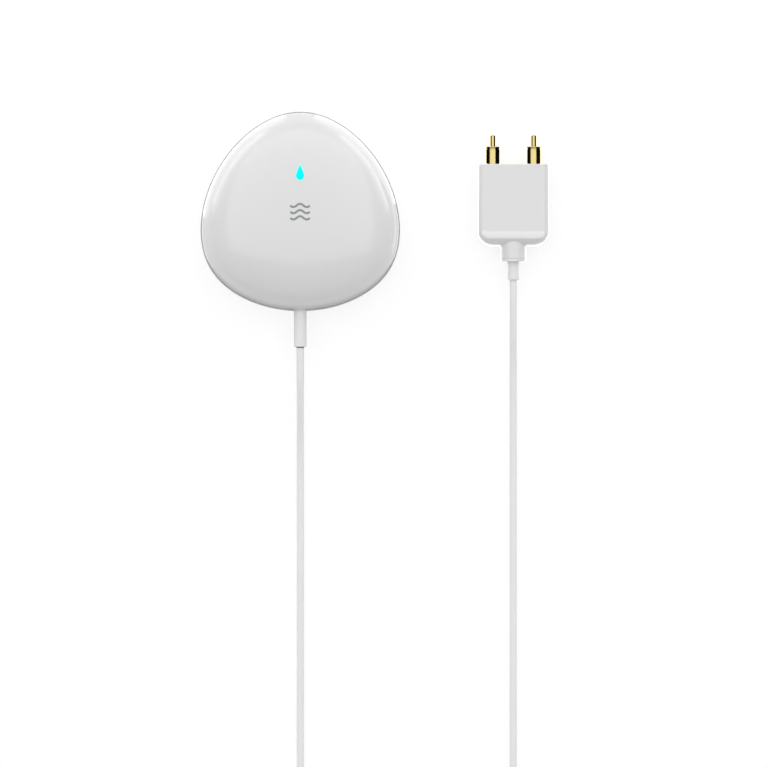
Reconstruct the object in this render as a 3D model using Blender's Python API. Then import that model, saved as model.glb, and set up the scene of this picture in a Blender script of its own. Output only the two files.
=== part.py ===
"""Water leak sensor: a battery head and a two-pin probe, joined by one thin cord.

Metres, +Z up. The origin is the middle of the head's back face, which lies on z = 0.
+Z points out of the head's face, +Y towards its rounded point, and +X from the head to the probe.
"""

import math

import bmesh
import bpy
from mathutils import Vector

# Clearances
GAP = 0.0003
SEAM = 0.00025
LENS_GAP = 0.00015
RUNNING_GAP = 0.0001

# Head casing
HEAD_LOBE = 0.0015
HEAD_POINTS = 3
SIDE_ROOM = 0.0081
TOP_ROOM = 0.0051
PARTING_Z = 0.0080
DOME_POWER = 2.5
COVER_WALL = 0.0018
BASE_INSET = 0.0050
FLOOR = 0.0022
FLOOR_CORNER = 0.0020
LIP_WALL = 0.0010
LIP_HEIGHT = 0.0014

# Two AAA cells side by side, and the bay that holds them
CELL_LENGTH = 0.0445
CELL_RADIUS = 0.00525
CELL_NUB_RADIUS = 0.0019
CELL_NUB_LENGTH = 0.0010
CELL_CRIMP = 0.0004
CONTACT_THICKNESS = 0.0004
CONTACT_WIDTH = 0.0080
CONTACT_TAB_WIDTH = 0.0020
SPRING_ROOM = 0.0028
BAY_CORNER = 0.0016
BAY_WALL = 0.0014
BAY_ROOF = 0.0012

# Battery door
DOOR_THICKNESS = 0.0012
DOOR_LEDGE = 0.0010
DOOR_TAB_WIDTH = 0.0090
DOOR_TAB_REACH = 0.0030
DOOR_TAB_CORNER = 0.0015
TONGUE_WIDTH = 0.0060
TONGUE_REACH = 0.0016
TONGUE_THICKNESS = 0.0010
TONGUE_SPACING = 0.0240
RISER_THICKNESS = 0.0010

# Case screws, with the posts of the back shell and the bosses of the front cover
CASE_SCREW_ANGLES = (90.0, -52.4, -127.6)
CASE_SCREW_INSET = 0.0098
CASE_SCREW_SEAT_Z = 0.0050
CASE_SCREW_LENGTH = 0.0100
SCREW_HEAD_RADIUS = 0.0021
SCREW_HEAD_HEIGHT = 0.0016
SCREW_HEAD_EDGE = 0.0005
SCREW_SHANK_RADIUS = 0.0012
SCREW_TIP_RADIUS = 0.0004
POST_RADIUS = 0.0034
POST_TOP_Z = 0.0115
BOSS_RADIUS = 0.0026
BOSS_SHOULDER_RADIUS = 0.0038

# Door screw
DOOR_SCREW_OFFSET = 0.0022
DOOR_SCREW_HEAD_RADIUS = 0.0019
DOOR_SCREW_HEAD_HEIGHT = 0.0009
DOOR_SCREW_SHANK_RADIUS = 0.0010
DOOR_SCREW_LENGTH = 0.0065
DOOR_SCREW_SUNK = 0.00015
DOOR_BOSS_RADIUS = 0.0026

# Cross recess of a screw, as shares of its head's radius
RECESS_REACH = 0.60
RECESS_HALF_SLOT = 0.16

# Main board and what it carries
BOARD_ROOM = 0.0090
BOARD_LOBE = 0.0011
BOARD_THICKNESS = 0.0016
RADIO_SIZE = (0.0150, 0.0170, 0.0008)
RADIO_CAN_SIZE = (0.0125, 0.0110, 0.0018)
RADIO_PLACE = (0.0, -0.0040)
RADIO_CAN_MARGIN = 0.0012
CHIP_CORNER = 0.0003
INDUCTOR_SIZE = (0.0050, 0.0050, 0.0024)
INDUCTOR_PLACE = (0.0130, 0.0050)
INDUCTOR_CORNER = 0.0008
CAPACITOR_RADIUS = 0.0020
CAPACITOR_HEIGHT = 0.0024
CAPACITOR_EDGE = 0.0003
CAPACITOR_PLACE = (-0.0130, 0.0050)
LED_SIZE = (0.0032, 0.0016, 0.0009)
LED_CORNER = 0.0002
CONNECTOR_SIZE = (0.0050, 0.0030, 0.0029)
CONNECTOR_ROOM = 0.00125
CONNECTOR_SHIFT = 0.0005

# Droplet light window
DROP_RADIUS = 0.0015
DROP_SLENDERNESS = 2.8
DROP_INSET = 0.0105
DROP_FLANGE = 0.0005
DROP_FLANGE_THICKNESS = 0.0008

# Pairing button, reached through the back
BUTTON_ROOM = 0.0020
BUTTON_RADIUS = 0.0025
BUTTON_SUNK = 0.0005
BUTTON_EDGE = 0.00025
BUTTON_FLANGE_RADIUS = 0.0035
BUTTON_FLANGE_THICKNESS = 0.0010
BUTTON_STEM_RADIUS = 0.0012
BUTTON_TRAVEL = 0.0005
DISH_RADIUS = 0.0045
DISH_DEPTH = 0.0007
DISH_ROOM = 0.00055
SWITCH_SIZE = (0.0045, 0.0045, 0.0015)
SWITCH_STUB_RADIUS = 0.0009
SWITCH_STUB_LENGTH = 0.0004

# Cord and the boot at the head
CORD_RADIUS = 0.00125
HEAD_BOOT_RADIUS = 0.0021
HEAD_BOOT_REACH = 0.0120
BOOT_FLANGE_RADIUS = 0.0032
BOOT_FLANGE_THICKNESS = 0.0014
BOOT_CHAMFER = 0.00035
SADDLE_WIDTH = 0.0080
SADDLE_THICKNESS = 0.0014
SADDLE_NOTCH_RADIUS = 0.0017
LEAD_RADIUS = 0.00045
LEAD_SPREAD = 0.0012

# Bends of the probe's leads, as shares of the way from the pins to the boot
LEAD_BENDS = (0.30, 0.65, 0.88)

# Probe
PROBE_X = 0.07245
PROBE_TOP_Y = 0.0176
PROBE_BOTTOM_Y = -0.0102
PROBE_FACE_ROOM = 0.00095
PROBE_EDGE = 0.0023
PROBE_TOP_EDGE = 0.00025
PROBE_SIDE_ROUND = 0.0049
PROBE_FACE_ROUND = 0.0055
PROBE_WALL = 0.0018
PROBE_MOUTH_WALL = 0.0012
PROBE_CAP_THICKNESS = 0.0020
CAP_GAP = 0.0002
COLLAR_RADIUS = 0.00435
COLLAR_REACH = 0.0053
COLLAR_CHAMFER = 0.0003
COLLAR_ROOT = 0.0039
PROBE_BOOT_RADIUS = 0.0022
PROBE_BOOT_END_RADIUS = 0.0020
PROBE_BOOT_REACH = 0.0062

# Contact pins of the probe
PIN_SPACING = 0.0139
BARREL_RADIUS = 0.00255
BARREL_EXPOSED = 0.00605
BARREL_DEPTH = 0.0080
BARREL_FLANGE_RADIUS = 0.00295
BARREL_FLANGE_THICKNESS = 0.0010
BARREL_LIP = 0.0008
BARREL_CHAMFER = 0.0002
BARREL_BORE_RADIUS = 0.0019
BARREL_FLOOR = 0.0010
TAIL_RADIUS = 0.0008
TAIL_LENGTH = 0.0020
PLUNGER_RADIUS = 0.00103
PLUNGER_EXPOSED = 0.0040
PLUNGER_CHAMFER = 0.0004
PISTON_LENGTH = 0.0025
PIN_SPRING_RADIUS = 0.00145
PIN_SPRING_WIRE = 0.0002
PIN_SPRING_TURNS = 6

# Battery springs
CELL_SPRING_FOOT_RADIUS = 0.0034
CELL_SPRING_TIP_RADIUS = 0.0020
CELL_SPRING_WIRE = 0.0003
CELL_SPRING_TURNS = 3

# How much of a spring's rise is drawn together at its ends
SPRING_EASE = 0.35

# Coil of the stored length of cord
COIL_X = 0.036225
COIL_Y = -0.2200
COIL_INNER_RADIUS = 0.0097
COIL_OUTER_RADIUS = 0.0205
COIL_BOTTOM_Z = 0.00075
COIL_HEIGHT = 0.0051
TIE_WIDTH = 0.0050
TIE_THICKNESS = 0.0005
TIE_GAP = 0.0002

# Routes of the cord outside its coil, chosen by hand
HEAD_ROUTE = (
    (0.0, -0.0448, 0.0080),
    (0.0, -0.0530, 0.0077),
    (0.0, -0.0640, 0.0057),
    (0.0, -0.0760, 0.0030),
    (0.0, -0.0880, 0.0016),
    (0.0, -0.1020, 0.0013),
    (0.0, -0.1300, 0.0013),
    (0.0, -0.1600, 0.0013),
    (0.0, -0.1850, 0.0013),
    (0.0001, -0.1930, 0.0013),
    (0.0014, -0.2013, 0.0013),
    (0.0054, -0.2096, 0.0014),
    (0.0102, -0.2164, 0.0016),
    (0.0144, -0.2223, 0.0018),
)
PROBE_ROUTE = (
    (0.07245, -0.0220, 0.0060),
    (0.07245, -0.0300, 0.0058),
    (0.07245, -0.0400, 0.0045),
    (0.07245, -0.0510, 0.0025),
    (0.07245, -0.0620, 0.0015),
    (0.07245, -0.0760, 0.0013),
    (0.07245, -0.1050, 0.0013),
    (0.07245, -0.1400, 0.0013),
    (0.07245, -0.1700, 0.0013),
    (0.07245, -0.1850, 0.0013),
    (0.07235, -0.1930, 0.0013),
    (0.07105, -0.2013, 0.0013),
    (0.06705, -0.2096, 0.0018),
    (0.06225, -0.2164, 0.0028),
    (0.05805, -0.2223, 0.0036),
)

# How finely round shapes are divided
CORD_STEP = 0.0065
CORD_BEVEL_STEPS = 2
LEAD_STEP = 0.00135
HEAD_SIDES = 48
DOME_STEPS = 9
ROUND_SIDES = 20
COIL_SIDES = 32
SMALL_SIDES = 12
WIRE_STEPS = 8
CORNER_STEPS = 4
PROBE_END_STEPS = 6
CORNER_LIMIT = 0.95
SHARP_ANGLE = math.radians(32)
PAST = 0.0010

# Places that follow from the sizes above: the bay sets the head's width, the board's stack its height
BAY_HALF_LENGTH = (CELL_LENGTH + SPRING_ROOM + 2 * CONTACT_THICKNESS + 3 * GAP) / 2
BAY_HALF_WIDTH = 2 * CELL_RADIUS + 1.5 * GAP
HEAD_RADIUS = BAY_HALF_LENGTH + BAY_WALL + SIDE_ROOM
HEAD_BOTTOM_Y = HEAD_LOBE - HEAD_RADIUS
COVER_BOTTOM_Z = PARTING_Z + SEAM
LIP_INSET = COVER_WALL + GAP
SHELL_INSIDE = LIP_INSET + LIP_WALL
CORD_EXIT_Z = PARTING_Z

BOOT_HOLE_RADIUS = HEAD_BOOT_RADIUS + GAP
HEAD_BOOT_END_Y = HEAD_BOTTOM_Y - HEAD_BOOT_REACH
BOOT_FLANGE_Y = HEAD_BOTTOM_Y + SHELL_INSIDE + GAP
BOOT_INNER_Y = BOOT_FLANGE_Y + BOOT_FLANGE_THICKNESS
SADDLE_Y = BOOT_INNER_Y + GAP
BUTTON_Y = SADDLE_Y + SADDLE_THICKNESS + BUTTON_ROOM + BUTTON_FLANGE_RADIUS
BAY_CENTRE_Y = BUTTON_Y + DISH_RADIUS + DISH_ROOM + DOOR_LEDGE + BAY_HALF_WIDTH

CELL_Z = DOOR_THICKNESS + GAP + CELL_RADIUS
CELL_Y = (BAY_CENTRE_Y + CELL_RADIUS + GAP / 2, BAY_CENTRE_Y - CELL_RADIUS - GAP / 2)
BAY_TOP_Z = CELL_Z + CELL_RADIUS + GAP
TUB_TOP_Z = BAY_TOP_Z + BAY_ROOF
TUB_TOP_Y = BAY_CENTRE_Y + BAY_HALF_WIDTH + BAY_WALL
TONGUE_END_Y = BAY_CENTRE_Y - BAY_HALF_WIDTH - TONGUE_REACH
DOOR_SCREW_Y = TUB_TOP_Y + DOOR_SCREW_OFFSET
DOOR_TAB_END_Y = DOOR_SCREW_Y + DOOR_TAB_REACH

BOARD_RADIUS = HEAD_RADIUS - BOARD_ROOM
BOARD_Z = TUB_TOP_Z + GAP
BOARD_TOP_Z = BOARD_Z + BOARD_THICKNESS
UNDER_BOARD_Z = BOARD_Z - GAP
PARTS_Z = BOARD_TOP_Z + GAP
BOSS_END_Z = POST_TOP_Z + GAP
LENS_BOTTOM_Z = PARTS_Z + LED_SIZE[2] + GAP
HEAD_HEIGHT = LENS_BOTTOM_Z + TOP_ROOM

CASE_SCREW_RADIUS = HEAD_RADIUS - CASE_SCREW_INSET
CASE_SCREW_PLACES = tuple(
    (CASE_SCREW_RADIUS * math.cos(math.radians(a)), CASE_SCREW_RADIUS * math.sin(math.radians(a)))
    for a in CASE_SCREW_ANGLES
)
DROP_CENTRE_Y = CASE_SCREW_RADIUS - DROP_INSET
CONNECTOR_PLACE = (
    -(SWITCH_SIZE[0] + CONNECTOR_SIZE[0]) / 2 - CONNECTOR_ROOM,
    BUTTON_Y + CONNECTOR_SHIFT,
)
SWITCH_STUB_Z = UNDER_BOARD_Z - SWITCH_SIZE[2] - SWITCH_STUB_LENGTH
BUTTON_TOP_Z = SWITCH_STUB_Z - BUTTON_TRAVEL - RUNNING_GAP
BUTTON_FLANGE_Z = FLOOR + GAP

PROBE_HALF_WIDTH = PIN_SPACING / 2 + BARREL_FLANGE_RADIUS + GAP + PROBE_WALL
PROBE_HALF_DEPTH = BARREL_FLANGE_RADIUS + GAP + PROBE_FACE_ROOM + PROBE_WALL
PROBE_Z = PROBE_HALF_DEPTH
COLLAR_INNER_Y = PROBE_BOTTOM_Y + COLLAR_ROOT
COLLAR_END_Y = PROBE_BOTTOM_Y - COLLAR_REACH
PROBE_BOOT_END_Y = COLLAR_END_Y - PROBE_BOOT_REACH
PIN_X = (-PIN_SPACING / 2, PIN_SPACING / 2)
CAP_INNER_Y = PROBE_TOP_Y - PROBE_CAP_THICKNESS
MOUTH_Y = CAP_INNER_Y - GAP
BARREL_MOUTH_Y = PROBE_TOP_Y + BARREL_EXPOSED
BARREL_BACK_Y = PROBE_TOP_Y - BARREL_DEPTH
BORE_BACK_Y = BARREL_BACK_Y + BARREL_FLOOR
PISTON_TOP_Y = BARREL_MOUTH_Y - BARREL_LIP - GAP
PISTON_BOTTOM_Y = PISTON_TOP_Y - PISTON_LENGTH
TAIL_END_Y = BARREL_BACK_Y - TAIL_LENGTH
PROBE_BOOT_FLANGE_Y = COLLAR_INNER_Y + GAP
PROBE_BOOT_INNER_Y = PROBE_BOOT_FLANGE_Y + BOOT_FLANGE_THICKNESS


def clear_scene():
    for obj in list(bpy.data.objects):
        bpy.data.objects.remove(obj)


def material(name, colour, roughness, metallic=0.0):
    made = bpy.data.materials.new(name)
    made.use_nodes = True
    shader = made.node_tree.nodes["Principled BSDF"]
    shader.inputs["Base Color"].default_value = (*colour, 1.0)
    shader.inputs["Roughness"].default_value = roughness
    shader.inputs["Metallic"].default_value = metallic
    return made


def new_object(name, shape):
    """An object from a bmesh whose faces are turned outwards."""
    bmesh.ops.recalc_face_normals(shape, faces=shape.faces)
    mesh = bpy.data.meshes.new(name)
    shape.to_mesh(mesh)
    shape.free()
    obj = bpy.data.objects.new(name, mesh)
    bpy.context.scene.collection.objects.link(obj)
    return obj


def loft(name, rings, looped=False):
    """Joins rings of points one after another; a ring of one point is a pole."""
    shape = bmesh.new()
    rows = [[shape.verts.new(point) for point in ring] for ring in rings]
    pairs = list(zip(rows, rows[1:]))
    if looped:
        pairs.append((rows[-1], rows[0]))
    for low, high in pairs:
        count = max(len(low), len(high))
        for i in range(count):
            j = (i + 1) % count
            if len(low) == 1:
                shape.faces.new((low[0], high[i], high[j]))
            elif len(high) == 1:
                shape.faces.new((low[i], low[j], high[0]))
            else:
                shape.faces.new((low[i], low[j], high[j], high[i]))
    if not looped:
        for row in (rows[0], rows[-1]):
            if len(row) > 1:
                shape.faces.new(row)
    return new_object(name, shape)


def circle(radius, height, sides):
    turns = [math.tau * i / sides for i in range(sides)]
    return [Vector((radius * math.cos(a), radius * math.sin(a), height)) for a in turns]


def turned(name, profile, sides=ROUND_SIDES, looped=False):
    """A turned body about the local Z axis from (radius, height) pairs."""
    rings = []
    for radius, height in profile:
        pole = [Vector((0.0, 0.0, height))]
        rings.append(circle(radius, height, sides) if radius > 0 else pole)
    return loft(name, rings, looped)


def rod(name, radius, low, high, sides=ROUND_SIDES):
    return turned(name, ((radius, low), (radius, high)), sides)


def rounded_rectangle(half_x, half_y, corner, centre=(0.0, 0.0)):
    """Points of a rectangle with round corners, anticlockwise."""
    points = []
    for quarter, (sx, sy) in enumerate(((1, 1), (-1, 1), (-1, -1), (1, -1))):
        for step in range(CORNER_STEPS + 1):
            angle = math.pi / 2 * (quarter + step / CORNER_STEPS)
            x = sx * (half_x - corner) + corner * math.cos(angle)
            y = sy * (half_y - corner) + corner * math.sin(angle)
            points.append((centre[0] + x, centre[1] + y))
    return points


def slab(name, outline, low, high):
    """An upright prism on an outline of (x, y) points."""
    rings = [[Vector((x, y, z)) for x, y in outline] for z in (low, high)]
    return loft(name, rings)


def block(name, low, high):
    """A box from its lowest to its highest corner."""
    outline = ((low[0], low[1]), (high[0], low[1]), (high[0], high[1]), (low[0], high[1]))
    return slab(name, outline, low[2], high[2])


def chip(name, place, size, low, corner=CHIP_CORNER):
    """A small board part: a block with soft corners that stands on z = low."""
    outline = rounded_rectangle(size[0] / 2, size[1] / 2, corner, place)
    return slab(name, outline, low, low + size[2])


def moved(obj, location=(0.0, 0.0, 0.0), rotation=(0.0, 0.0, 0.0)):
    obj.location = location
    obj.rotation_euler = rotation
    return obj


def boolean(target, tools, operation="DIFFERENCE"):
    """Cuts or joins closed shapes at once; the tools are used up."""
    for tool in tools:
        modifier = target.modifiers.new(operation.lower(), "BOOLEAN")
        modifier.operation = operation
        modifier.object = tool
        graph = bpy.context.evaluated_depsgraph_get()
        mesh = bpy.data.meshes.new_from_object(target.evaluated_get(graph))
        target.modifiers.clear()
        target.data = mesh
        bpy.data.objects.remove(tool)
    return target


def finish(obj, surface, parent=None):
    mesh = obj.data
    mesh.materials.clear()
    mesh.materials.append(surface)
    if obj.type == "MESH":
        mesh.shade_smooth()
        mesh.set_sharp_from_angle(angle=SHARP_ANGLE)
    obj.parent = parent
    return obj


def copy_of(obj, name):
    """A second piece on the same mesh, with the same parent."""
    other = obj.copy()
    other.name = name
    bpy.context.scene.collection.objects.link(other)
    return other


def wire(name, points, radius, bevel_steps=1):
    """A round wire or cord along points; more bevel steps give it more sides."""
    curve = bpy.data.curves.new(name, "CURVE")
    curve.dimensions = "3D"
    curve.bevel_depth = radius
    curve.bevel_resolution = bevel_steps
    curve.use_fill_caps = True
    spline = curve.splines.new("POLY")
    spline.points.add(len(points) - 1)
    for point, place in zip(spline.points, points):
        point.co = (*place, 1.0)
    spline.use_smooth = True
    obj = bpy.data.objects.new(name, curve)
    bpy.context.scene.collection.objects.link(obj)
    return obj


def smooth_route(knots, step):
    """Evenly spaced points of a smooth curve through the knots."""
    knots = [Vector(knot) for knot in knots]
    spans = [(b - a).length for a, b in zip(knots, knots[1:])]
    slopes = [(knots[1] - knots[0]) / spans[0]]
    for i in range(1, len(knots) - 1):
        before = (knots[i] - knots[i - 1]) / spans[i - 1]
        after = (knots[i + 1] - knots[i]) / spans[i]
        share = spans[i - 1] / (spans[i - 1] + spans[i])
        slopes.append(before * (1 - share) + after * share)
    slopes.append((knots[-1] - knots[-2]) / spans[-1])
    points = []
    for i, span in enumerate(spans):
        count = max(1, round(span / step))
        for k in range(count):
            t = k / count
            points.append(
                knots[i] * (2 * t**3 - 3 * t**2 + 1)
                + slopes[i] * (span * (t**3 - 2 * t**2 + t))
                + knots[i + 1] * (3 * t**2 - 2 * t**3)
                + slopes[i + 1] * (span * (t**3 - t**2))
            )
    points.append(knots[-1])
    return points


def spring_points(low_radius, high_radius, low, high, turns):
    """A helix about the local Z axis, flatter towards its ends."""
    count = turns * WIRE_STEPS
    points = []
    for i in range(count + 1):
        share = i / count
        turn = math.tau * turns * share
        radius = low_radius + (high_radius - low_radius) * share
        rise = share - SPRING_EASE * math.sin(math.tau * share) / math.tau
        height = low + (high - low) * rise
        points.append((radius * math.cos(turn), radius * math.sin(turn), height))
    return points


def lobed_ring(radius, lobe, height):
    """The head's outline: the distance from the middle to its tangent swells at each of its points."""
    points = []
    for i in range(HEAD_SIDES):
        turn = math.tau * i / HEAD_SIDES
        phase = HEAD_POINTS * (turn - math.pi / 2)
        reach = radius + lobe * math.cos(phase)
        slope = -HEAD_POINTS * lobe * math.sin(phase)
        x = reach * math.cos(turn) - slope * math.sin(turn)
        y = reach * math.sin(turn) + slope * math.cos(turn)
        points.append(Vector((x, y, height)))
    return points


def dome_rings(radius, height):
    """Rings above the parting line up to the pole."""
    rings = []
    for step in range(1, DOME_STEPS):
        turn = math.pi / 2 * step / DOME_STEPS
        across = math.cos(turn) ** (2 / DOME_POWER)
        up = math.sin(turn) ** (2 / DOME_POWER)
        rings.append(lobed_ring(radius * across, HEAD_LOBE * across, PARTING_Z + height * up))
    rings.append([Vector((0.0, 0.0, PARTING_Z + height))])
    return rings


def dome(name):
    """The front cover's outer form, as a solid."""
    rings = [lobed_ring(HEAD_RADIUS, HEAD_LOBE, COVER_BOTTOM_Z)]
    return loft(name, rings + dome_rings(HEAD_RADIUS, HEAD_HEIGHT - PARTING_Z))


def droplet(extra):
    """The light window's outline, grown by extra all round."""
    radius = DROP_RADIUS + extra
    tip = radius * DROP_SLENDERNESS
    start = math.pi / 2 + math.acos(1 / DROP_SLENDERNESS)
    sweep = math.tau - 2 * math.acos(1 / DROP_SLENDERNESS)
    points = [(0.0, DROP_CENTRE_Y + tip)]
    for i in range(SMALL_SIDES):
        angle = start + sweep * i / (SMALL_SIDES - 1)
        points.append((radius * math.cos(angle), DROP_CENTRE_Y + radius * math.sin(angle)))
    return points


def boot_hole(name):
    end_y = HEAD_BOTTOM_Y - 2 * PAST
    depth = BOOT_FLANGE_Y + PAST - end_y
    hole = rod(name, BOOT_HOLE_RADIUS, 0.0, depth, ROUND_SIDES)
    return moved(hole, (0.0, end_y, CORD_EXIT_Z), (-math.pi / 2, 0.0, 0.0))


def build_front_cover(surface, parent):
    inner_radius = HEAD_RADIUS - COVER_WALL
    rings = [lobed_ring(inner_radius, HEAD_LOBE, PARTING_Z - PAST)]
    rings.append(lobed_ring(inner_radius, HEAD_LOBE, PARTING_Z))
    hollow = loft("hollow", rings + dome_rings(inner_radius, HEAD_HEIGHT - PARTING_Z - COVER_WALL))
    bosses = []
    for x, y in CASE_SCREW_PLACES:
        profile = (
            (BOSS_RADIUS, BOSS_END_Z),
            (BOSS_RADIUS, PARTS_Z),
            (BOSS_SHOULDER_RADIUS, PARTS_Z),
            (BOSS_SHOULDER_RADIUS, HEAD_HEIGHT + PAST),
        )
        bosses.append(moved(turned("boss", profile), (x, y, 0.0)))
    boolean(hollow, bosses)
    cover = boolean(dome("front_cover"), [hollow])
    pilot_top = CASE_SCREW_SEAT_Z + CASE_SCREW_LENGTH + GAP
    window = slab("window", droplet(LENS_GAP), LENS_BOTTOM_Z, HEAD_HEIGHT + PAST)
    cutters = [window, boot_hole("hole")]
    for x, y in CASE_SCREW_PLACES:
        pilot_radius = SCREW_SHANK_RADIUS + RUNNING_GAP
        pilot = rod("pilot", pilot_radius, BOSS_END_Z - PAST, pilot_top, SMALL_SIDES)
        cutters.append(moved(pilot, (x, y, 0.0)))
    return finish(boolean(cover, cutters), surface, parent)


def build_droplet_lens(surface, parent):
    """A light guide whose face follows the dome, on a flange under the cover."""
    flange_top = LENS_BOTTOM_Z + DROP_FLANGE_THICKNESS
    inside_flange = flange_top - DROP_FLANGE_THICKNESS / 2
    lens = slab("droplet_lens", droplet(0.0), inside_flange, HEAD_HEIGHT + PAST)
    boolean(lens, [dome("limit")], "INTERSECT")
    boolean(lens, [slab("flange", droplet(DROP_FLANGE), LENS_BOTTOM_Z, flange_top)], "UNION")
    return finish(lens, surface, parent)


def shell_outer_rings():
    rings = []
    steps = CORNER_STEPS + 1
    for step in range(steps + 1):
        turn = math.pi / 2 * (1 - step / steps)
        inset = BASE_INSET * (1 - math.cos(turn))
        rings.append(lobed_ring(HEAD_RADIUS - inset, HEAD_LOBE, PARTING_Z * (1 - math.sin(turn))))
    for height in (PARTING_Z, PARTING_Z + LIP_HEIGHT):
        rings.append(lobed_ring(HEAD_RADIUS - LIP_INSET, HEAD_LOBE, height))
    return rings


def shell_inner_rings():
    rings = []
    for step in range(CORNER_STEPS):
        turn = math.pi / 2 * (1 - step / (CORNER_STEPS - 1))
        inset = SHELL_INSIDE + FLOOR_CORNER * (1 - math.cos(turn))
        height = FLOOR + FLOOR_CORNER * (1 - math.sin(turn))
        rings.append(lobed_ring(HEAD_RADIUS - inset, HEAD_LOBE, height))
    rings.append(lobed_ring(HEAD_RADIUS - SHELL_INSIDE, HEAD_LOBE, PARTING_Z + LIP_HEIGHT + PAST))
    return rings


def bay_outline(grow, corner):
    return rounded_rectangle(
        BAY_HALF_LENGTH + grow, BAY_HALF_WIDTH + grow, corner, (0.0, BAY_CENTRE_Y)
    )


def tongue_places():
    return (-TONGUE_SPACING / 2, TONGUE_SPACING / 2)


def build_back_shell(surface, parent):
    shell = loft("back_shell", shell_outer_rings())
    boolean(shell, [loft("hollow", shell_inner_rings())])
    root_z = FLOOR / 2
    tub = slab("tub", bay_outline(BAY_WALL, BAY_CORNER + BAY_WALL), root_z, TUB_TOP_Z)
    posts = [rod("post", POST_RADIUS, root_z, POST_TOP_Z) for _ in CASE_SCREW_PLACES]
    for post, (x, y) in zip(posts, CASE_SCREW_PLACES):
        moved(post, (x, y, 0.0))
    door_boss_top = DOOR_SCREW_SUNK + DOOR_SCREW_LENGTH + 2 * GAP
    door_boss = rod("door_boss", DOOR_BOSS_RADIUS, root_z, door_boss_top + PAST)
    moved(door_boss, (0.0, DOOR_SCREW_Y, 0.0))
    saddle = block(
        "saddle",
        (-SADDLE_WIDTH / 2, SADDLE_Y, root_z),
        (SADDLE_WIDTH / 2, SADDLE_Y + SADDLE_THICKNESS, CORD_EXIT_Z),
    )
    boolean(shell, [tub, *posts, door_boss, saddle], "UNION")
    boolean(shell, shell_cutters(door_boss_top))
    return finish(shell, surface, parent)


def shell_cutters(door_boss_top):
    ledge_z = DOOR_THICKNESS + GAP
    cutters = [
        slab("bay", bay_outline(0.0, BAY_CORNER), -PAST, BAY_TOP_Z),
        slab("recess", bay_outline(DOOR_LEDGE, BAY_CORNER + DOOR_LEDGE), -PAST, ledge_z),
        door_tab("tab_recess", GAP, -PAST, ledge_z),
        boot_hole("hole"),
    ]
    notch = rod("notch", SADDLE_NOTCH_RADIUS, 0.0, SADDLE_THICKNESS + 2 * PAST)
    cutters.append(moved(notch, (0.0, SADDLE_Y - PAST, CORD_EXIT_Z), (-math.pi / 2, 0.0, 0.0)))
    for x, y in CASE_SCREW_PLACES:
        profile = (
            (SCREW_HEAD_RADIUS + GAP, -PAST),
            (SCREW_HEAD_RADIUS + GAP, CASE_SCREW_SEAT_Z),
            (SCREW_SHANK_RADIUS + GAP, CASE_SCREW_SEAT_Z),
            (SCREW_SHANK_RADIUS + GAP, POST_TOP_Z + PAST),
        )
        cutters.append(moved(turned("screw_way", profile), (x, y, 0.0)))
    pilot = rod("pilot", DOOR_SCREW_SHANK_RADIUS + RUNNING_GAP, -PAST, door_boss_top, SMALL_SIDES)
    cutters.append(moved(pilot, (0.0, DOOR_SCREW_Y, 0.0)))
    dish = turned(
        "dish",
        (
            (DISH_RADIUS, -PAST),
            (DISH_RADIUS, 0.0),
            (DISH_RADIUS - DISH_DEPTH, DISH_DEPTH),
            (BUTTON_RADIUS + GAP, DISH_DEPTH),
            (BUTTON_RADIUS + GAP, FLOOR + PAST),
        ),
    )
    cutters.append(moved(dish, (0.0, BUTTON_Y, 0.0)))
    for y in CELL_Y:
        low = (-BAY_HALF_LENGTH + GAP / 2, y - CONTACT_TAB_WIDTH / 2 - GAP, BAY_TOP_Z - PAST)
        high = (low[0] + CONTACT_THICKNESS + GAP, y + CONTACT_TAB_WIDTH / 2 + GAP, TUB_TOP_Z + PAST)
        cutters.append(block("slot", low, high))
    for x in tongue_places():
        half = TONGUE_WIDTH / 2 + GAP
        low_z = FLOOR + GAP / 2
        high_z = low_z + TONGUE_THICKNESS + 2 * GAP
        low = (x - half, TONGUE_END_Y - GAP, low_z)
        high = (x + half, BAY_CENTRE_Y - BAY_HALF_WIDTH + PAST, high_z)
        cutters.append(block("window", low, high))
    return cutters


def door_tab(name, grow, low, high):
    """The screw tab of the door, or its recess."""
    start_y = BAY_CENTRE_Y
    half_y = (DOOR_TAB_END_Y + grow - start_y) / 2
    centre = (0.0, start_y + half_y)
    outline = rounded_rectangle(DOOR_TAB_WIDTH / 2 + grow, half_y, DOOR_TAB_CORNER + grow, centre)
    return slab(name, outline, low, high)


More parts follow.
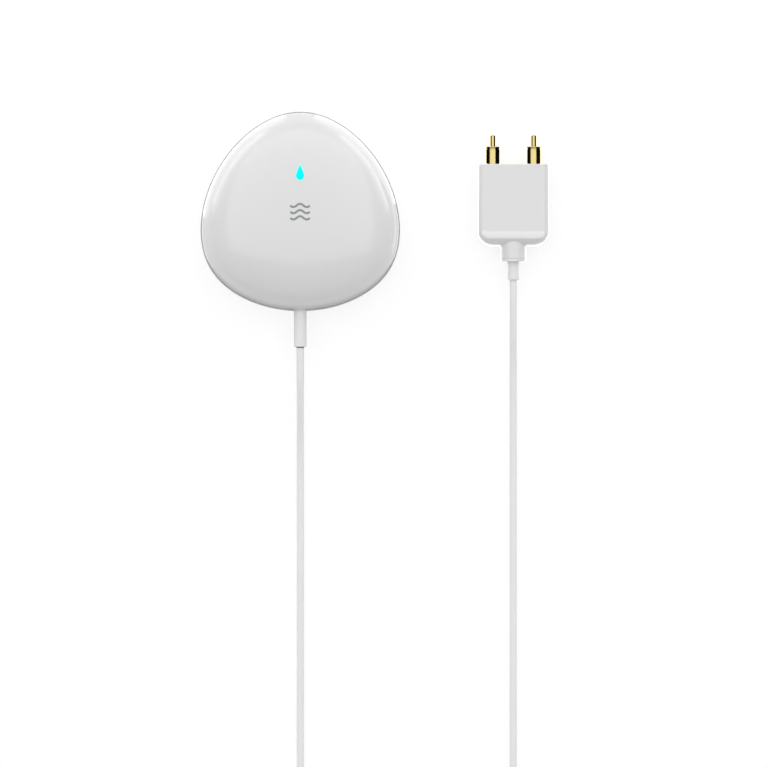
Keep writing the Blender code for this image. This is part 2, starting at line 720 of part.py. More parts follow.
def build_battery_door(surface, parent):
    door = slab(
        "battery_door", bay_outline(DOOR_LEDGE - GAP, BAY_CORNER + DOOR_LEDGE - GAP), 0.0, DOOR_THICKNESS
    )
    joined = [door_tab("tab", 0.0, 0.0, DOOR_THICKNESS)]
    riser_y = BAY_CENTRE_Y - BAY_HALF_WIDTH + GAP
    tongue_z = FLOOR + 1.5 * GAP
    for x in tongue_places():
        half = TONGUE_WIDTH / 2
        top = tongue_z + TONGUE_THICKNESS
        riser_low = (x - half, riser_y, DOOR_THICKNESS / 2)
        joined.append(block("riser", riser_low, (x + half, riser_y + RISER_THICKNESS, top)))
        tongue_low = (x - half, TONGUE_END_Y, tongue_z)
        joined.append(block("tongue", tongue_low, (x + half, riser_y + RISER_THICKNESS / 2, top)))
    boolean(door, joined, "UNION")
    sink = turned(
        "sink",
        (
            (DOOR_SCREW_HEAD_RADIUS + GAP, -PAST),
            (DOOR_SCREW_HEAD_RADIUS + GAP, DOOR_SCREW_SUNK),
            (DOOR_SCREW_SHANK_RADIUS + GAP, DOOR_SCREW_SUNK + DOOR_SCREW_HEAD_HEIGHT),
            (DOOR_SCREW_SHANK_RADIUS + GAP, DOOR_THICKNESS + PAST),
        ),
    )
    boolean(door, [moved(sink, (0.0, DOOR_SCREW_Y, 0.0))])
    return finish(door, surface, parent)


def cross_recess(radius, depth):
    """The tool that cuts a cross recess into a screw head, whose face is at z = 0."""
    half = radius * RECESS_HALF_SLOT
    reach = radius * RECESS_REACH
    arms = block("arm", (-reach, -half, -PAST), (reach, half, depth))
    other = block("arm", (-half, -reach, -PAST), (half, reach, depth))
    return boolean(arms, [other], "UNION")


def build_case_screws(surface, parent):
    """Pan-head screws; each head's face looks down, out of the back."""
    screw = turned(
        "case_screw_1",
        (
            (SCREW_HEAD_RADIUS - SCREW_HEAD_EDGE, 0.0),
            (SCREW_HEAD_RADIUS, SCREW_HEAD_EDGE),
            (SCREW_HEAD_RADIUS, SCREW_HEAD_HEIGHT),
            (SCREW_SHANK_RADIUS, SCREW_HEAD_HEIGHT),
            (SCREW_SHANK_RADIUS, SCREW_HEAD_HEIGHT + CASE_SCREW_LENGTH - SCREW_SHANK_RADIUS),
            (SCREW_TIP_RADIUS, SCREW_HEAD_HEIGHT + CASE_SCREW_LENGTH),
        ),
        SMALL_SIDES,
    )
    boolean(screw, [cross_recess(SCREW_HEAD_RADIUS, SCREW_HEAD_HEIGHT / 2)])
    finish(screw, surface, parent)
    low = CASE_SCREW_SEAT_Z - GAP - SCREW_HEAD_HEIGHT
    screws = [screw] + [copy_of(screw, f"case_screw_{n}") for n in (2, 3)]
    for piece, (x, y) in zip(screws, CASE_SCREW_PLACES):
        moved(piece, (x, y, low))


def build_door_screw(surface, parent):
    screw = turned(
        "door_screw",
        (
            (DOOR_SCREW_HEAD_RADIUS, 0.0),
            (DOOR_SCREW_SHANK_RADIUS, DOOR_SCREW_HEAD_HEIGHT),
            (DOOR_SCREW_SHANK_RADIUS, DOOR_SCREW_LENGTH - DOOR_SCREW_SHANK_RADIUS),
            (SCREW_TIP_RADIUS, DOOR_SCREW_LENGTH),
        ),
        SMALL_SIDES,
    )
    boolean(screw, [cross_recess(DOOR_SCREW_HEAD_RADIUS, DOOR_SCREW_HEAD_HEIGHT / 2)])
    moved(finish(screw, surface, parent), (0.0, DOOR_SCREW_Y, DOOR_SCREW_SUNK))


def build_cells(surface, parent):
    """The first cell's positive end looks to +X, the second one's to -X."""
    profile = (
        (CELL_RADIUS - 2 * CELL_CRIMP, 0.0),
        (CELL_RADIUS, CELL_CRIMP),
        (CELL_RADIUS, CELL_LENGTH - CELL_NUB_LENGTH - CELL_CRIMP),
        (CELL_RADIUS - CELL_CRIMP, CELL_LENGTH - CELL_NUB_LENGTH),
        (CELL_NUB_RADIUS, CELL_LENGTH - CELL_NUB_LENGTH),
        (CELL_NUB_RADIUS, CELL_LENGTH),
    )
    cell = finish(turned("battery_1", profile), surface, parent)
    other = copy_of(cell, "battery_2")
    start = BAY_HALF_LENGTH - GAP - CONTACT_THICKNESS - GAP - CELL_LENGTH
    moved(cell, (start, CELL_Y[0], CELL_Z), (0.0, math.pi / 2, 0.0))
    moved(other, (-start, CELL_Y[1], CELL_Z), (0.0, -math.pi / 2, 0.0))


def build_contacts(surface, parent):
    half = CONTACT_WIDTH / 2
    low_z = CELL_Z - half
    high_z = CELL_Z + half
    outer_x = -BAY_HALF_LENGTH + GAP
    inner_x = outer_x + CONTACT_THICKNESS
    for name, y in zip(("contact_negative", "contact_positive"), CELL_Y):
        plate = block(name, (outer_x, y - half, low_z), (inner_x, y + half, high_z))
        tab_half = CONTACT_TAB_WIDTH / 2
        low = (outer_x, y - tab_half, high_z - half)
        tab = block("tab", low, (inner_x, y + tab_half, UNDER_BOARD_Z))
        boolean(plate, [tab], "UNION")
        finish(plate, surface, parent)
    low = (-inner_x, CELL_Y[1] - half, low_z)
    bridge = block("contact_bridge", low, (-outer_x, CELL_Y[0] + half, high_z))
    finish(bridge, surface, parent)


def build_battery_springs(surface, parent):
    """Conical springs that press each cell's negative end."""
    foot = CELL_SPRING_WIRE + GAP
    points = spring_points(
        CELL_SPRING_FOOT_RADIUS, CELL_SPRING_TIP_RADIUS, foot, SPRING_ROOM - foot, CELL_SPRING_TURNS
    )
    plate_x = -BAY_HALF_LENGTH + GAP + CONTACT_THICKNESS
    for name, side, y in (("battery_spring_1", 1, CELL_Y[0]), ("battery_spring_2", -1, CELL_Y[1])):
        spring = finish(wire(name, points, CELL_SPRING_WIRE), surface, parent)
        moved(spring, (side * plate_x, y, CELL_Z), (0.0, side * math.pi / 2, 0.0))


def build_main_board(surface, parent):
    outline = [(p.x, p.y) for p in lobed_ring(BOARD_RADIUS, BOARD_LOBE, 0.0)]
    board = slab("main_board", outline, BOARD_Z, BOARD_TOP_Z)
    holes = []
    for x, y in CASE_SCREW_PLACES:
        hole = rod("hole", BOSS_RADIUS + GAP, BOARD_Z - PAST, BOARD_TOP_Z + PAST)
        holes.append(moved(hole, (x, y, 0.0)))
    return finish(boolean(board, holes), surface, parent)


def build_board_parts(surfaces, parent):
    base = chip("radio_module", RADIO_PLACE, RADIO_SIZE, PARTS_Z)
    shift = (RADIO_SIZE[1] - RADIO_CAN_SIZE[1]) / 2 - RADIO_CAN_MARGIN
    can_place = (RADIO_PLACE[0], RADIO_PLACE[1] - shift)
    can = chip("can", can_place, RADIO_CAN_SIZE, PARTS_Z + RADIO_SIZE[2] / 2)
    finish(boolean(base, [can], "UNION"), surfaces["metal"], parent)
    inductor = chip("power_inductor", INDUCTOR_PLACE, INDUCTOR_SIZE, PARTS_Z, INDUCTOR_CORNER)
    finish(inductor, surfaces["black"], parent)
    profile = (
        (CAPACITOR_RADIUS, 0.0),
        (CAPACITOR_RADIUS, CAPACITOR_HEIGHT - CAPACITOR_EDGE),
        (CAPACITOR_RADIUS - CAPACITOR_EDGE, CAPACITOR_HEIGHT),
    )
    capacitor = finish(turned("storage_capacitor", profile, SMALL_SIDES), surfaces["metal"], parent)
    moved(capacitor, (*CAPACITOR_PLACE, PARTS_Z))
    light = chip("status_led", (0.0, DROP_CENTRE_Y), LED_SIZE, PARTS_Z, LED_CORNER)
    finish(light, surfaces["white"], parent)
    low = UNDER_BOARD_Z - CONNECTOR_SIZE[2]
    finish(chip("lead_connector", CONNECTOR_PLACE, CONNECTOR_SIZE, low), surfaces["white"], parent)


def build_pair_button(surfaces, parent):
    switch = chip("pair_switch", (0.0, BUTTON_Y), SWITCH_SIZE, UNDER_BOARD_Z - SWITCH_SIZE[2])
    stub_top = SWITCH_STUB_Z + SWITCH_STUB_LENGTH + SWITCH_SIZE[2] / 2
    stub = rod("stub", SWITCH_STUB_RADIUS, SWITCH_STUB_Z, stub_top, SMALL_SIDES)
    moved(stub, (0.0, BUTTON_Y, 0.0))
    finish(boolean(switch, [stub], "UNION"), surfaces["black"], parent)
    flange_top = BUTTON_FLANGE_Z + BUTTON_FLANGE_THICKNESS
    button = turned(
        "pair_button",
        (
            (BUTTON_RADIUS - BUTTON_EDGE, BUTTON_SUNK),
            (BUTTON_RADIUS, BUTTON_SUNK + BUTTON_EDGE),
            (BUTTON_RADIUS, BUTTON_FLANGE_Z),
            (BUTTON_FLANGE_RADIUS, BUTTON_FLANGE_Z),
            (BUTTON_FLANGE_RADIUS, flange_top),
            (BUTTON_STEM_RADIUS, flange_top),
            (BUTTON_STEM_RADIUS, BUTTON_TOP_Z),
        ),
    )
    moved(finish(button, surfaces["grey"], parent), (0.0, BUTTON_Y, 0.0))


def boot(name, inner_y, end_y, flange_radius, radius, end_radius):
    """A strain relief whose local Z axis runs out along the cord, from the inner end."""
    length = inner_y - end_y
    return turned(
        name,
        (
            (flange_radius, 0.0),
            (flange_radius, BOOT_FLANGE_THICKNESS),
            (radius, BOOT_FLANGE_THICKNESS),
            (end_radius, length - BOOT_CHAMFER),
            (end_radius - BOOT_CHAMFER, length),
        ),
    )


def build_head_boot(surface, parent):
    made = boot(
        "head_boot", BOOT_INNER_Y, HEAD_BOOT_END_Y, BOOT_FLANGE_RADIUS, HEAD_BOOT_RADIUS, HEAD_BOOT_RADIUS
    )
    moved(finish(made, surface, parent), (0.0, BOOT_INNER_Y, CORD_EXIT_Z), (math.pi / 2, 0.0, 0.0))


def build_head_leads(surfaces, parent):
    """Two inner leads from the boot, through the saddle, to the connector under the board."""
    end_y = CONNECTOR_PLACE[1] - CONNECTOR_SIZE[1] / 2 - GAP
    end_z = UNDER_BOARD_Z - CONNECTOR_SIZE[2] / 2
    turn_y = SADDLE_Y + SADDLE_THICKNESS + 2 * LEAD_SPREAD
    for name, side in (("lead_red", -1), ("lead_black", 1)):
        lane = side * LEAD_SPREAD / 2
        end_x = CONNECTOR_PLACE[0] + 2 * lane
        route = (
            (lane, SADDLE_Y, CORD_EXIT_Z),
            (lane, SADDLE_Y + SADDLE_THICKNESS, CORD_EXIT_Z),
            ((lane + end_x) / 2, turn_y + lane, (CORD_EXIT_Z + end_z) / 2),
            (end_x, end_y - LEAD_SPREAD, end_z),
            (end_x, end_y, end_z),
        )
        finish(wire(name, smooth_route(route, LEAD_STEP), LEAD_RADIUS), surfaces[name], parent)


def round_inset(height, radius):
    """How far a rounded end has drawn in at a height above its lowest point."""
    if height >= radius:
        return 0.0
    return radius - math.sqrt(radius**2 - (radius - height) ** 2)


def probe_ring(half_width, half_depth, edge, y):
    """A section across the probe; a corner stays within CORNER_LIMIT of the half width it rounds."""
    edge = min(edge, half_width * CORNER_LIMIT, half_depth * CORNER_LIMIT)
    return [Vector((x, y, z)) for x, z in rounded_rectangle(half_width, half_depth, edge)]


def rim_size(inset):
    """Half width, half depth and corner of the probe's section, drawn in by inset."""
    return (PROBE_HALF_WIDTH - inset, PROBE_HALF_DEPTH - inset, PROBE_EDGE - inset / 2)


def probe_form(name, inset, bottom_y, mouth):
    """The probe's block, drawn in by inset, from its mouth rings down to a rounded lower end."""
    side = PROBE_SIDE_ROUND - inset
    face = PROBE_FACE_ROUND - inset
    rings = [probe_ring(*ring) for ring in mouth]
    reach = max(side, face)
    for step in range(PROBE_END_STEPS + 1):
        height = reach * (1 - math.sin(math.pi / 2 * step / PROBE_END_STEPS))
        half_width = PROBE_HALF_WIDTH - inset - round_inset(height, side)
        half_depth = PROBE_HALF_DEPTH - inset - round_inset(height, face)
        rings.append(probe_ring(half_width, half_depth, PROBE_EDGE - inset / 2, bottom_y + height))
    return loft(name, rings)


def along_probe(obj, x=0.0, y=0.0, outwards=True):
    """Turns a body about local Z to lie along the probe, towards the pins or towards the cord."""
    turn = -math.pi / 2 if outwards else math.pi / 2
    return moved(obj, (x, y, 0.0), (turn, 0.0, 0.0))


def build_probe_shell(surface, parent):
    outer_mouth = (
        (PROBE_HALF_WIDTH - PROBE_TOP_EDGE, PROBE_HALF_DEPTH - PROBE_TOP_EDGE, PROBE_EDGE, PROBE_TOP_Y),
        (PROBE_HALF_WIDTH, PROBE_HALF_DEPTH, PROBE_EDGE, PROBE_TOP_Y - PROBE_TOP_EDGE),
    )
    shell = probe_form("probe_shell", 0.0, PROBE_BOTTOM_Y, outer_mouth)
    mouth = rim_size(PROBE_MOUTH_WALL)
    inner_mouth = ((*mouth, PROBE_TOP_Y + PAST), (*mouth, MOUTH_Y), (*rim_size(PROBE_WALL), MOUTH_Y))
    hollow = probe_form("hollow", PROBE_WALL, PROBE_BOTTOM_Y + PROBE_WALL, inner_mouth)
    boolean(shell, [hollow])
    collar = turned(
        "collar",
        (
            (COLLAR_RADIUS, 0.0),
            (COLLAR_RADIUS, COLLAR_INNER_Y - COLLAR_END_Y - COLLAR_CHAMFER),
            (COLLAR_RADIUS - COLLAR_CHAMFER, COLLAR_INNER_Y - COLLAR_END_Y),
        ),
    )
    boolean(shell, [along_probe(collar, y=COLLAR_INNER_Y, outwards=False)], "UNION")
    bore_length = COLLAR_INNER_Y - COLLAR_END_Y + 2 * PAST
    bore = rod("bore", PROBE_BOOT_RADIUS + GAP, 0.0, bore_length)
    boolean(shell, [along_probe(bore, y=COLLAR_END_Y - PAST)])
    return finish(shell, surface, parent)


def build_probe_cap(surface, parent):
    size = rim_size(PROBE_MOUTH_WALL + CAP_GAP)
    cap = loft("probe_cap", [probe_ring(*size, y) for y in (PROBE_TOP_Y, CAP_INNER_Y)])
    holes = []
    for x in PIN_X:
        hole = rod("hole", BARREL_RADIUS + CAP_GAP, 0.0, PROBE_CAP_THICKNESS + 2 * PAST)
        holes.append(along_probe(hole, x, CAP_INNER_Y - PAST))
    return finish(boolean(cap, holes), surface, parent)


def build_pins(surfaces, parent):
    """Each pin's local Z axis runs out through its tip, from the back of the barrel."""
    mouth = BARREL_MOUTH_Y - BARREL_BACK_Y
    flange_top = CAP_INNER_Y - GAP - BARREL_BACK_Y
    flange_low = flange_top - BARREL_FLANGE_THICKNESS
    barrel_profile = (
        (0.0, -TAIL_LENGTH),
        (TAIL_RADIUS, -TAIL_LENGTH),
        (TAIL_RADIUS, 0.0),
        (BARREL_RADIUS, 0.0),
        (BARREL_RADIUS, flange_low),
        (BARREL_FLANGE_RADIUS, flange_low),
        (BARREL_FLANGE_RADIUS, flange_top),
        (BARREL_RADIUS, flange_top),
        (BARREL_RADIUS, mouth - BARREL_CHAMFER),
        (BARREL_RADIUS - BARREL_CHAMFER, mouth),
        (PLUNGER_RADIUS + RUNNING_GAP, mouth),
        (PLUNGER_RADIUS + RUNNING_GAP, mouth - BARREL_LIP),
        (BARREL_BORE_RADIUS, mouth - BARREL_LIP),
        (BARREL_BORE_RADIUS, BARREL_FLOOR),
        (0.0, BARREL_FLOOR),
    )
    barrel = finish(turned("pin_barrel_1", barrel_profile), surfaces["gold"], parent)
    tip = PISTON_LENGTH + GAP + BARREL_LIP + PLUNGER_EXPOSED
    plunger_profile = (
        (0.0, 0.0),
        (BARREL_BORE_RADIUS - RUNNING_GAP, 0.0),
        (BARREL_BORE_RADIUS - RUNNING_GAP, PISTON_LENGTH),
        (PLUNGER_RADIUS, PISTON_LENGTH),
        (PLUNGER_RADIUS, tip - PLUNGER_CHAMFER),
        (PLUNGER_RADIUS - PLUNGER_CHAMFER, tip),
        (0.0, tip),
    )
    plunger = finish(turned("pin_plunger_1", plunger_profile), surfaces["gold"], parent)
    room = PISTON_BOTTOM_Y - BORE_BACK_Y
    foot = PIN_SPRING_WIRE + GAP
    points = spring_points(PIN_SPRING_RADIUS, PIN_SPRING_RADIUS, foot, room - foot, PIN_SPRING_TURNS)
    spring = finish(wire("pin_spring_1", points, PIN_SPRING_WIRE), surfaces["steel"], parent)
    for piece, y in ((barrel, BARREL_BACK_Y), (plunger, PISTON_BOTTOM_Y), (spring, BORE_BACK_Y)):
        along_probe(piece, PIN_X[0], y)
        along_probe(copy_of(piece, piece.name.replace("_1", "_2")), PIN_X[1], y)


def build_probe_leads(surfaces, parent):
    start_y = TAIL_END_Y - GAP
    end_y = PROBE_BOOT_INNER_Y + GAP
    drop = start_y - end_y
    for name, x in zip(("probe_lead_1", "probe_lead_2"), PIN_X):
        side = math.copysign(1.0, x)
        end_x = side * LEAD_SPREAD / 2
        route = (
            (x, start_y, 0.0),
            (x, start_y - LEAD_BENDS[0] * drop, 0.0),
            ((x + end_x) / 2, start_y - LEAD_BENDS[1] * drop, 0.0),
            (end_x + side * LEAD_RADIUS, start_y - LEAD_BENDS[2] * drop, 0.0),
            (end_x, end_y, 0.0),
        )
        finish(wire(name, smooth_route(route, LEAD_STEP), LEAD_RADIUS), surfaces[name], parent)


def build_probe_boot(surface, parent):
    made = boot(
        "probe_boot",
        PROBE_BOOT_INNER_Y,
        PROBE_BOOT_END_Y,
        BOOT_FLANGE_RADIUS,
        PROBE_BOOT_RADIUS,
        PROBE_BOOT_END_RADIUS,
    )
    along_probe(finish(made, surface, parent), y=PROBE_BOOT_INNER_Y, outwards=False)


def build_cord(surface):
    for name, route in (("cord_run_head", HEAD_ROUTE), ("cord_run_probe", PROBE_ROUTE)):
        finish(wire(name, smooth_route(route, CORD_STEP), CORD_RADIUS, CORD_BEVEL_STEPS), surface)


def build_coil(surface, tie_surface):
    """The outer shape of the stored turns, and the tie round them."""
    edge = CORD_RADIUS
    middle = (COIL_INNER_RADIUS + COIL_OUTER_RADIUS) / 2
    half_across = (COIL_OUTER_RADIUS - COIL_INNER_RADIUS) / 2
    section = rounded_rectangle(half_across, COIL_HEIGHT / 2, edge)
    profile = [(middle + x, COIL_HEIGHT / 2 + z) for x, z in section[::2]]
    coil = finish(turned("cord_coil", profile, COIL_SIDES, looped=True), surface)
    moved(coil, (COIL_X, COIL_Y, COIL_BOTTOM_Z))
    bend = math.sqrt(COIL_INNER_RADIUS**2 - (TIE_WIDTH / 2) ** 2)
    low_y = -COIL_OUTER_RADIUS - TIE_GAP
    high_y = -bend + TIE_GAP
    half_y = (high_y - low_y) / 2
    half_z = COIL_HEIGHT / 2 + TIE_GAP
    rings = []
    for grow, x in ((0.0, -1), (TIE_THICKNESS, -1), (TIE_THICKNESS, 1), (0.0, 1)):
        outline = rounded_rectangle(half_y + grow, half_z + grow, edge + grow)
        rings.append([Vector((x * TIE_WIDTH / 2, y, z)) for y, z in outline])
    tie = finish(loft("coil_tie", rings, looped=True), tie_surface)
    moved(tie, (COIL_X, COIL_Y + (low_y + high_y) / 2, COIL_BOTTOM_Z + COIL_HEIGHT / 2))


def main():
    clear_scene()
    gloss_white = material("housing_gloss", (0.80, 0.80, 0.80), 0.12)
    satin_white = material("housing_satin", (0.78, 0.78, 0.78), 0.35)
    lens_cyan = material("lens_cyan", (0.0, 0.75, 0.90), 0.15)
    gold = material("contact_gold", (0.83, 0.58, 0.22), 0.15, 1.0)
    steel = material("steel", (0.60, 0.60, 0.60), 0.30, 1.0)
    nickel = material("contact_nickel", (0.70, 0.69, 0.66), 0.25, 1.0)
    sleeve = material("battery_sleeve", (0.30, 0.33, 0.36), 0.35)
    green = material("board_green", (0.02, 0.17, 0.07), 0.40)
    black = material("part_black", (0.02, 0.02, 0.02), 0.45)
    part_white = material("part_white", (0.75, 0.74, 0.70), 0.40)
    button_grey = material("button_grey", (0.45, 0.46, 0.47), 0.45)
    cord_white = material("cord_white", (0.78, 0.78, 0.78), 0.45)
    lead_red = material("lead_red", (0.55, 0.02, 0.02), 0.45)
    lead_black = material("lead_black", (0.02, 0.02, 0.02), 0.45)
    tie_grey = material("tie_grey", (0.55, 0.55, 0.55), 0.60)

    head = bpy.data.objects.new("head", None)
    probe = bpy.data.objects.new("probe", None)
    probe.location = (PROBE_X, 0.0, PROBE_Z)
    for empty in (head, probe):
        bpy.context.scene.collection.objects.link(empty)

    build_front_cover(gloss_white, head)
    build_droplet_lens(lens_cyan, head)
    build_back_shell(satin_white, head)
    build_battery_door(satin_white, head)
    build_case_screws(steel, head)
    build_door_screw(steel, head)
    build_cells(sleeve, head)
    build_contacts(nickel, head)
    build_battery_springs(nickel, head)
    build_main_board(green, head)
    board_surfaces = {"metal": steel, "black": black, "white": part_white}
    build_board_parts(board_surfaces, head)
    build_pair_button({"black": black, "grey": button_grey}, head)
    build_head_boot(cord_white, head)
    build_head_leads({"lead_red": lead_red, "lead_black": lead_black}, head)

    build_probe_shell(gloss_white, probe)
    build_probe_cap(gloss_white, probe)
    build_pins({"gold": gold, "steel": steel}, probe)
    build_probe_leads({"probe_lead_1": lead_red, "probe_lead_2": lead_black}, probe)
    build_probe_boot(cord_white, probe)

    build_cord(cord_white)
    build_coil(cord_white, tie_grey)


main()
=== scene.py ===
"""Looks of the water leak sensor: a glossy battery head, a probe with gold pins, and their thin cord.

Metres, +Z up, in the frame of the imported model. The camera looks straight down, as the photograph does.
"""

import math

import bmesh
import bpy
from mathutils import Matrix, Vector


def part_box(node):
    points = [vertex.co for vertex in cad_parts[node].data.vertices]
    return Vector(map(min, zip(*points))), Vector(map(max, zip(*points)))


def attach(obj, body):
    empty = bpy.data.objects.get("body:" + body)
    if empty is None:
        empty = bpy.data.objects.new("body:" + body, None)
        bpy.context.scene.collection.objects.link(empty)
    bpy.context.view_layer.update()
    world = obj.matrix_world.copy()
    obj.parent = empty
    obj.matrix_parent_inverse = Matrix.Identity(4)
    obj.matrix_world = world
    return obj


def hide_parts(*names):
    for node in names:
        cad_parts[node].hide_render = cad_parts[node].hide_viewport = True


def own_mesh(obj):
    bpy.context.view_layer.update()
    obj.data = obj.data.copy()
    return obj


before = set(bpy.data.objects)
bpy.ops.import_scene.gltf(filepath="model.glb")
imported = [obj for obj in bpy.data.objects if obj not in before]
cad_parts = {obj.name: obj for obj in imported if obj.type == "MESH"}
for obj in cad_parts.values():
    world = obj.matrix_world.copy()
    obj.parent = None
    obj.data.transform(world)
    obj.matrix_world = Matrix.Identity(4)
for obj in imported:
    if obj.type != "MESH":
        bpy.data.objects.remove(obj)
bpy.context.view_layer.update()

# Clearances and sizes that the frame's own pieces have
GAP = 0.0003
PAST = 0.0010
COVER_LOW, COVER_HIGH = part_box("front_cover")
HEAD_RADIUS = (COVER_HIGH.y - COVER_LOW.y) / 2
HEAD_LOBE = (COVER_HIGH.y + COVER_LOW.y) / 2
HEAD_HEIGHT = COVER_HIGH.z
HEAD_POINTS = 3
SEAM = 0.00025
COVER_BOTTOM_Z = COVER_LOW.z
PARTING_Z = COVER_BOTTOM_Z - SEAM
DOME_POWER = 2.5
COVER_WALL = 0.0018
BASE_INSET = 0.0050
SEAM_EASE = 0.00018
RIM_WIDTH = 0.00013
RIM_GROOVE = 0.00021
RIM_GROOVE_DEPTH = 0.0007
FLOOR = 0.0022
FLOOR_CORNER = 0.0020
LIP_INSET = COVER_WALL + GAP
LIP_WALL = 0.0010
LIP_HEIGHT = 0.0014
SHELL_INSIDE = LIP_INSET + LIP_WALL

# Droplet light window, from its widest line up to its tip and down to its round end
DROP_Y = 0.01355
DROP_HALF_WIDTH = 0.00138
DROP_TIP = 0.00411
DROP_TIP_GROWTH = 2.5
DROP_FOOT = 0.00157
DROP_SHOULDER = 0.00122
DROP_NECK = (0.00010, 0.00313)
DROP_SEAM = 0.00004
DROP_FLANGE = 0.00045
DROP_FLANGE_THICKNESS = 0.0008
LENS_BOTTOM_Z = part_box("droplet_lens")[0].z

# Screws of the case and of the battery door
CASE_SCREWS = ("case_screw_1", "case_screw_2", "case_screw_3")
SCREW_HEAD_RADIUS = 0.0021
SCREW_HEAD_HEIGHT = 0.0016
SCREW_SHANK_RADIUS = 0.0012
SCREW_TIP_RADIUS = 0.0004
SCREW_PITCH = 0.0006
THREAD_SIDES = 24
THREAD_STEPS = 6
DOOR_SCREW_HEAD_RADIUS = 0.0019
DOOR_SCREW_HEAD_HEIGHT = 0.0009
DOOR_SCREW_SHANK_RADIUS = 0.0010
POST_RADIUS = 0.0034
POST_TOP_Z = 0.0115
BOSS_RADIUS = 0.0026
BOSS_SHOULDER_RADIUS = 0.0038

# Bay of the two cells, its door, and the pairing button's dish
CELL_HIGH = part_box("battery_1")[1]
OTHER_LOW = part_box("battery_2")[0]
DOOR_LOW, DOOR_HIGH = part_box("battery_door")
BUTTON_LOW, BUTTON_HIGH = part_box("pair_button")
BAY_CENTRE_Y = (OTHER_LOW.y + CELL_HIGH.y) / 2
BAY_HALF_WIDTH = (CELL_HIGH.y - OTHER_LOW.y) / 2 + GAP
BAY_CORNER = 0.0016
BAY_WALL = 0.0014
BAY_TOP_Z = CELL_HIGH.z + GAP
TUB_TOP_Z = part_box("main_board")[0].z - GAP
DOOR_LEDGE = 0.0010
BAY_HALF_LENGTH = DOOR_HIGH.x - DOOR_LEDGE + GAP
DOOR_THICKNESS = 0.0012
DOOR_TAB_WIDTH = 0.0090
DOOR_TAB_CORNER = 0.0015
DOOR_BOSS_RADIUS = 0.0026
TONGUE_WIDTH = 0.0060
TONGUE_THICKNESS = 0.0010
TONGUE_X = (-0.0120, 0.0120)
RISER_THICKNESS = 0.0010
SADDLE_WIDTH = 0.0080
SADDLE_THICKNESS = 0.0014
SADDLE_NOTCH_RADIUS = 0.0017
BUTTON_Y = (BUTTON_LOW.y + BUTTON_HIGH.y) / 2
BUTTON_RADIUS = 0.0025
DISH_RADIUS = 0.0045
DISH_DEPTH = 0.0007

# Cord, boots and the stored coil
CORD_RADIUS = 0.00125
HEAD_BOOT_RADIUS = 0.0021
PROBE_BOOT_RADIUS = 0.0022
PROBE_BOOT_END_RADIUS = 0.0020
BOOT_FLANGE_THICKNESS = 0.0014
BOOT_MOUTH_RADIUS = 0.00150
BOOT_MOUTH_DEPTH = 0.0009
COIL_CENTRE = (0.036225, -0.2200)
COIL_OUTER_TURN = 0.0192
COIL_PITCH = 0.0026
COIL_LOW_Z = 0.0020
COIL_LAYER = 0.0026
COIL_START = math.radians(215)
COIL_TURNS = 6 + 110 / 360
COIL_CLIMB = 0.15

# Probe
PROBE_LOW, PROBE_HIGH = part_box("probe_shell")
PROBE_X = (PROBE_LOW.x + PROBE_HIGH.x) / 2
PROBE_HALF_WIDTH = (PROBE_HIGH.x - PROBE_LOW.x) / 2
PROBE_HALF_DEPTH = (PROBE_HIGH.z - PROBE_LOW.z) / 2
PROBE_Z = PROBE_HALF_DEPTH
PROBE_TOP_Y = PROBE_HIGH.y
COLLAR_END_Y = PROBE_LOW.y
COLLAR_REACH = 0.0053
PROBE_BOTTOM_Y = COLLAR_END_Y + COLLAR_REACH
PROBE_EDGE = 0.0023
PROBE_TOP_EDGE = 0.00025
PROBE_SIDE_ROUND = 0.0049
PROBE_FACE_ROUND = 0.0055
PROBE_WALL = 0.0018
PROBE_MOUTH_WALL = 0.0012
CAP_GAP = 0.0002
THIN_GAP = 0.0001
COLLAR_RADIUS = 0.00435
COLLAR_ROOT = 0.0039
COLLAR_INNER_Y = PROBE_BOTTOM_Y + COLLAR_ROOT
PIN_SPACING = 0.0139
PIN_X = (PROBE_X - PIN_SPACING / 2, PROBE_X + PIN_SPACING / 2)
BARREL_RADIUS = 0.00255
PLUNGER_RADIUS = 0.00103

# Routes of the cord outside its coil, as in the model's source
HEAD_ROUTE = (
    (0.0, -0.0448, 0.0080),
    (0.0, -0.0530, 0.0077),
    (0.0, -0.0640, 0.0057),
    (0.0, -0.0760, 0.0030),
    (0.0, -0.0880, 0.0016),
    (0.0, -0.1020, 0.0013),
    (0.0, -0.1300, 0.0013),
    (0.0, -0.1600, 0.0013),
    (0.0, -0.1850, 0.0013),
    (0.0001, -0.1930, 0.0013),
    (0.0014, -0.2013, 0.0013),
    (0.0054, -0.2096, 0.0014),
    (0.0102, -0.2164, 0.0016),
    (0.0144, -0.2223, 0.0018),
)
PROBE_ROUTE = (
    (0.07245, -0.0220, 0.0060),
    (0.07245, -0.0300, 0.0058),
    (0.07245, -0.0400, 0.0045),
    (0.07245, -0.0510, 0.0025),
    (0.07245, -0.0620, 0.0015),
    (0.07245, -0.0760, 0.0013),
    (0.07245, -0.1050, 0.0013),
    (0.07245, -0.1400, 0.0013),
    (0.07245, -0.1700, 0.0013),
    (0.07245, -0.1850, 0.0013),
    (0.07235, -0.1930, 0.0013),
    (0.07105, -0.2013, 0.0013),
    (0.06705, -0.2096, 0.0018),
    (0.06225, -0.2164, 0.0028),
    (0.05805, -0.2223, 0.0036),
)

# Camera: straight above, its picture VIEW_WIDTH wide at the height of VIEW_PLANE_Z
VIEW_CENTRE = (0.02829, -0.05695)
VIEW_WIDTH = 0.2608
VIEW_PLANE_Z = 0.0080
CAMERA_LENS = 600.0
CAMERA_SENSOR = 36.0

# The floor; a share of its white is its own, so that its shadow stays faint
FLOOR_WHITE_SHARE = 0.75
FLOOR_HALF = 6.0
FLOOR_Z = -0.00002
FLOOR_WHITE = 0.98

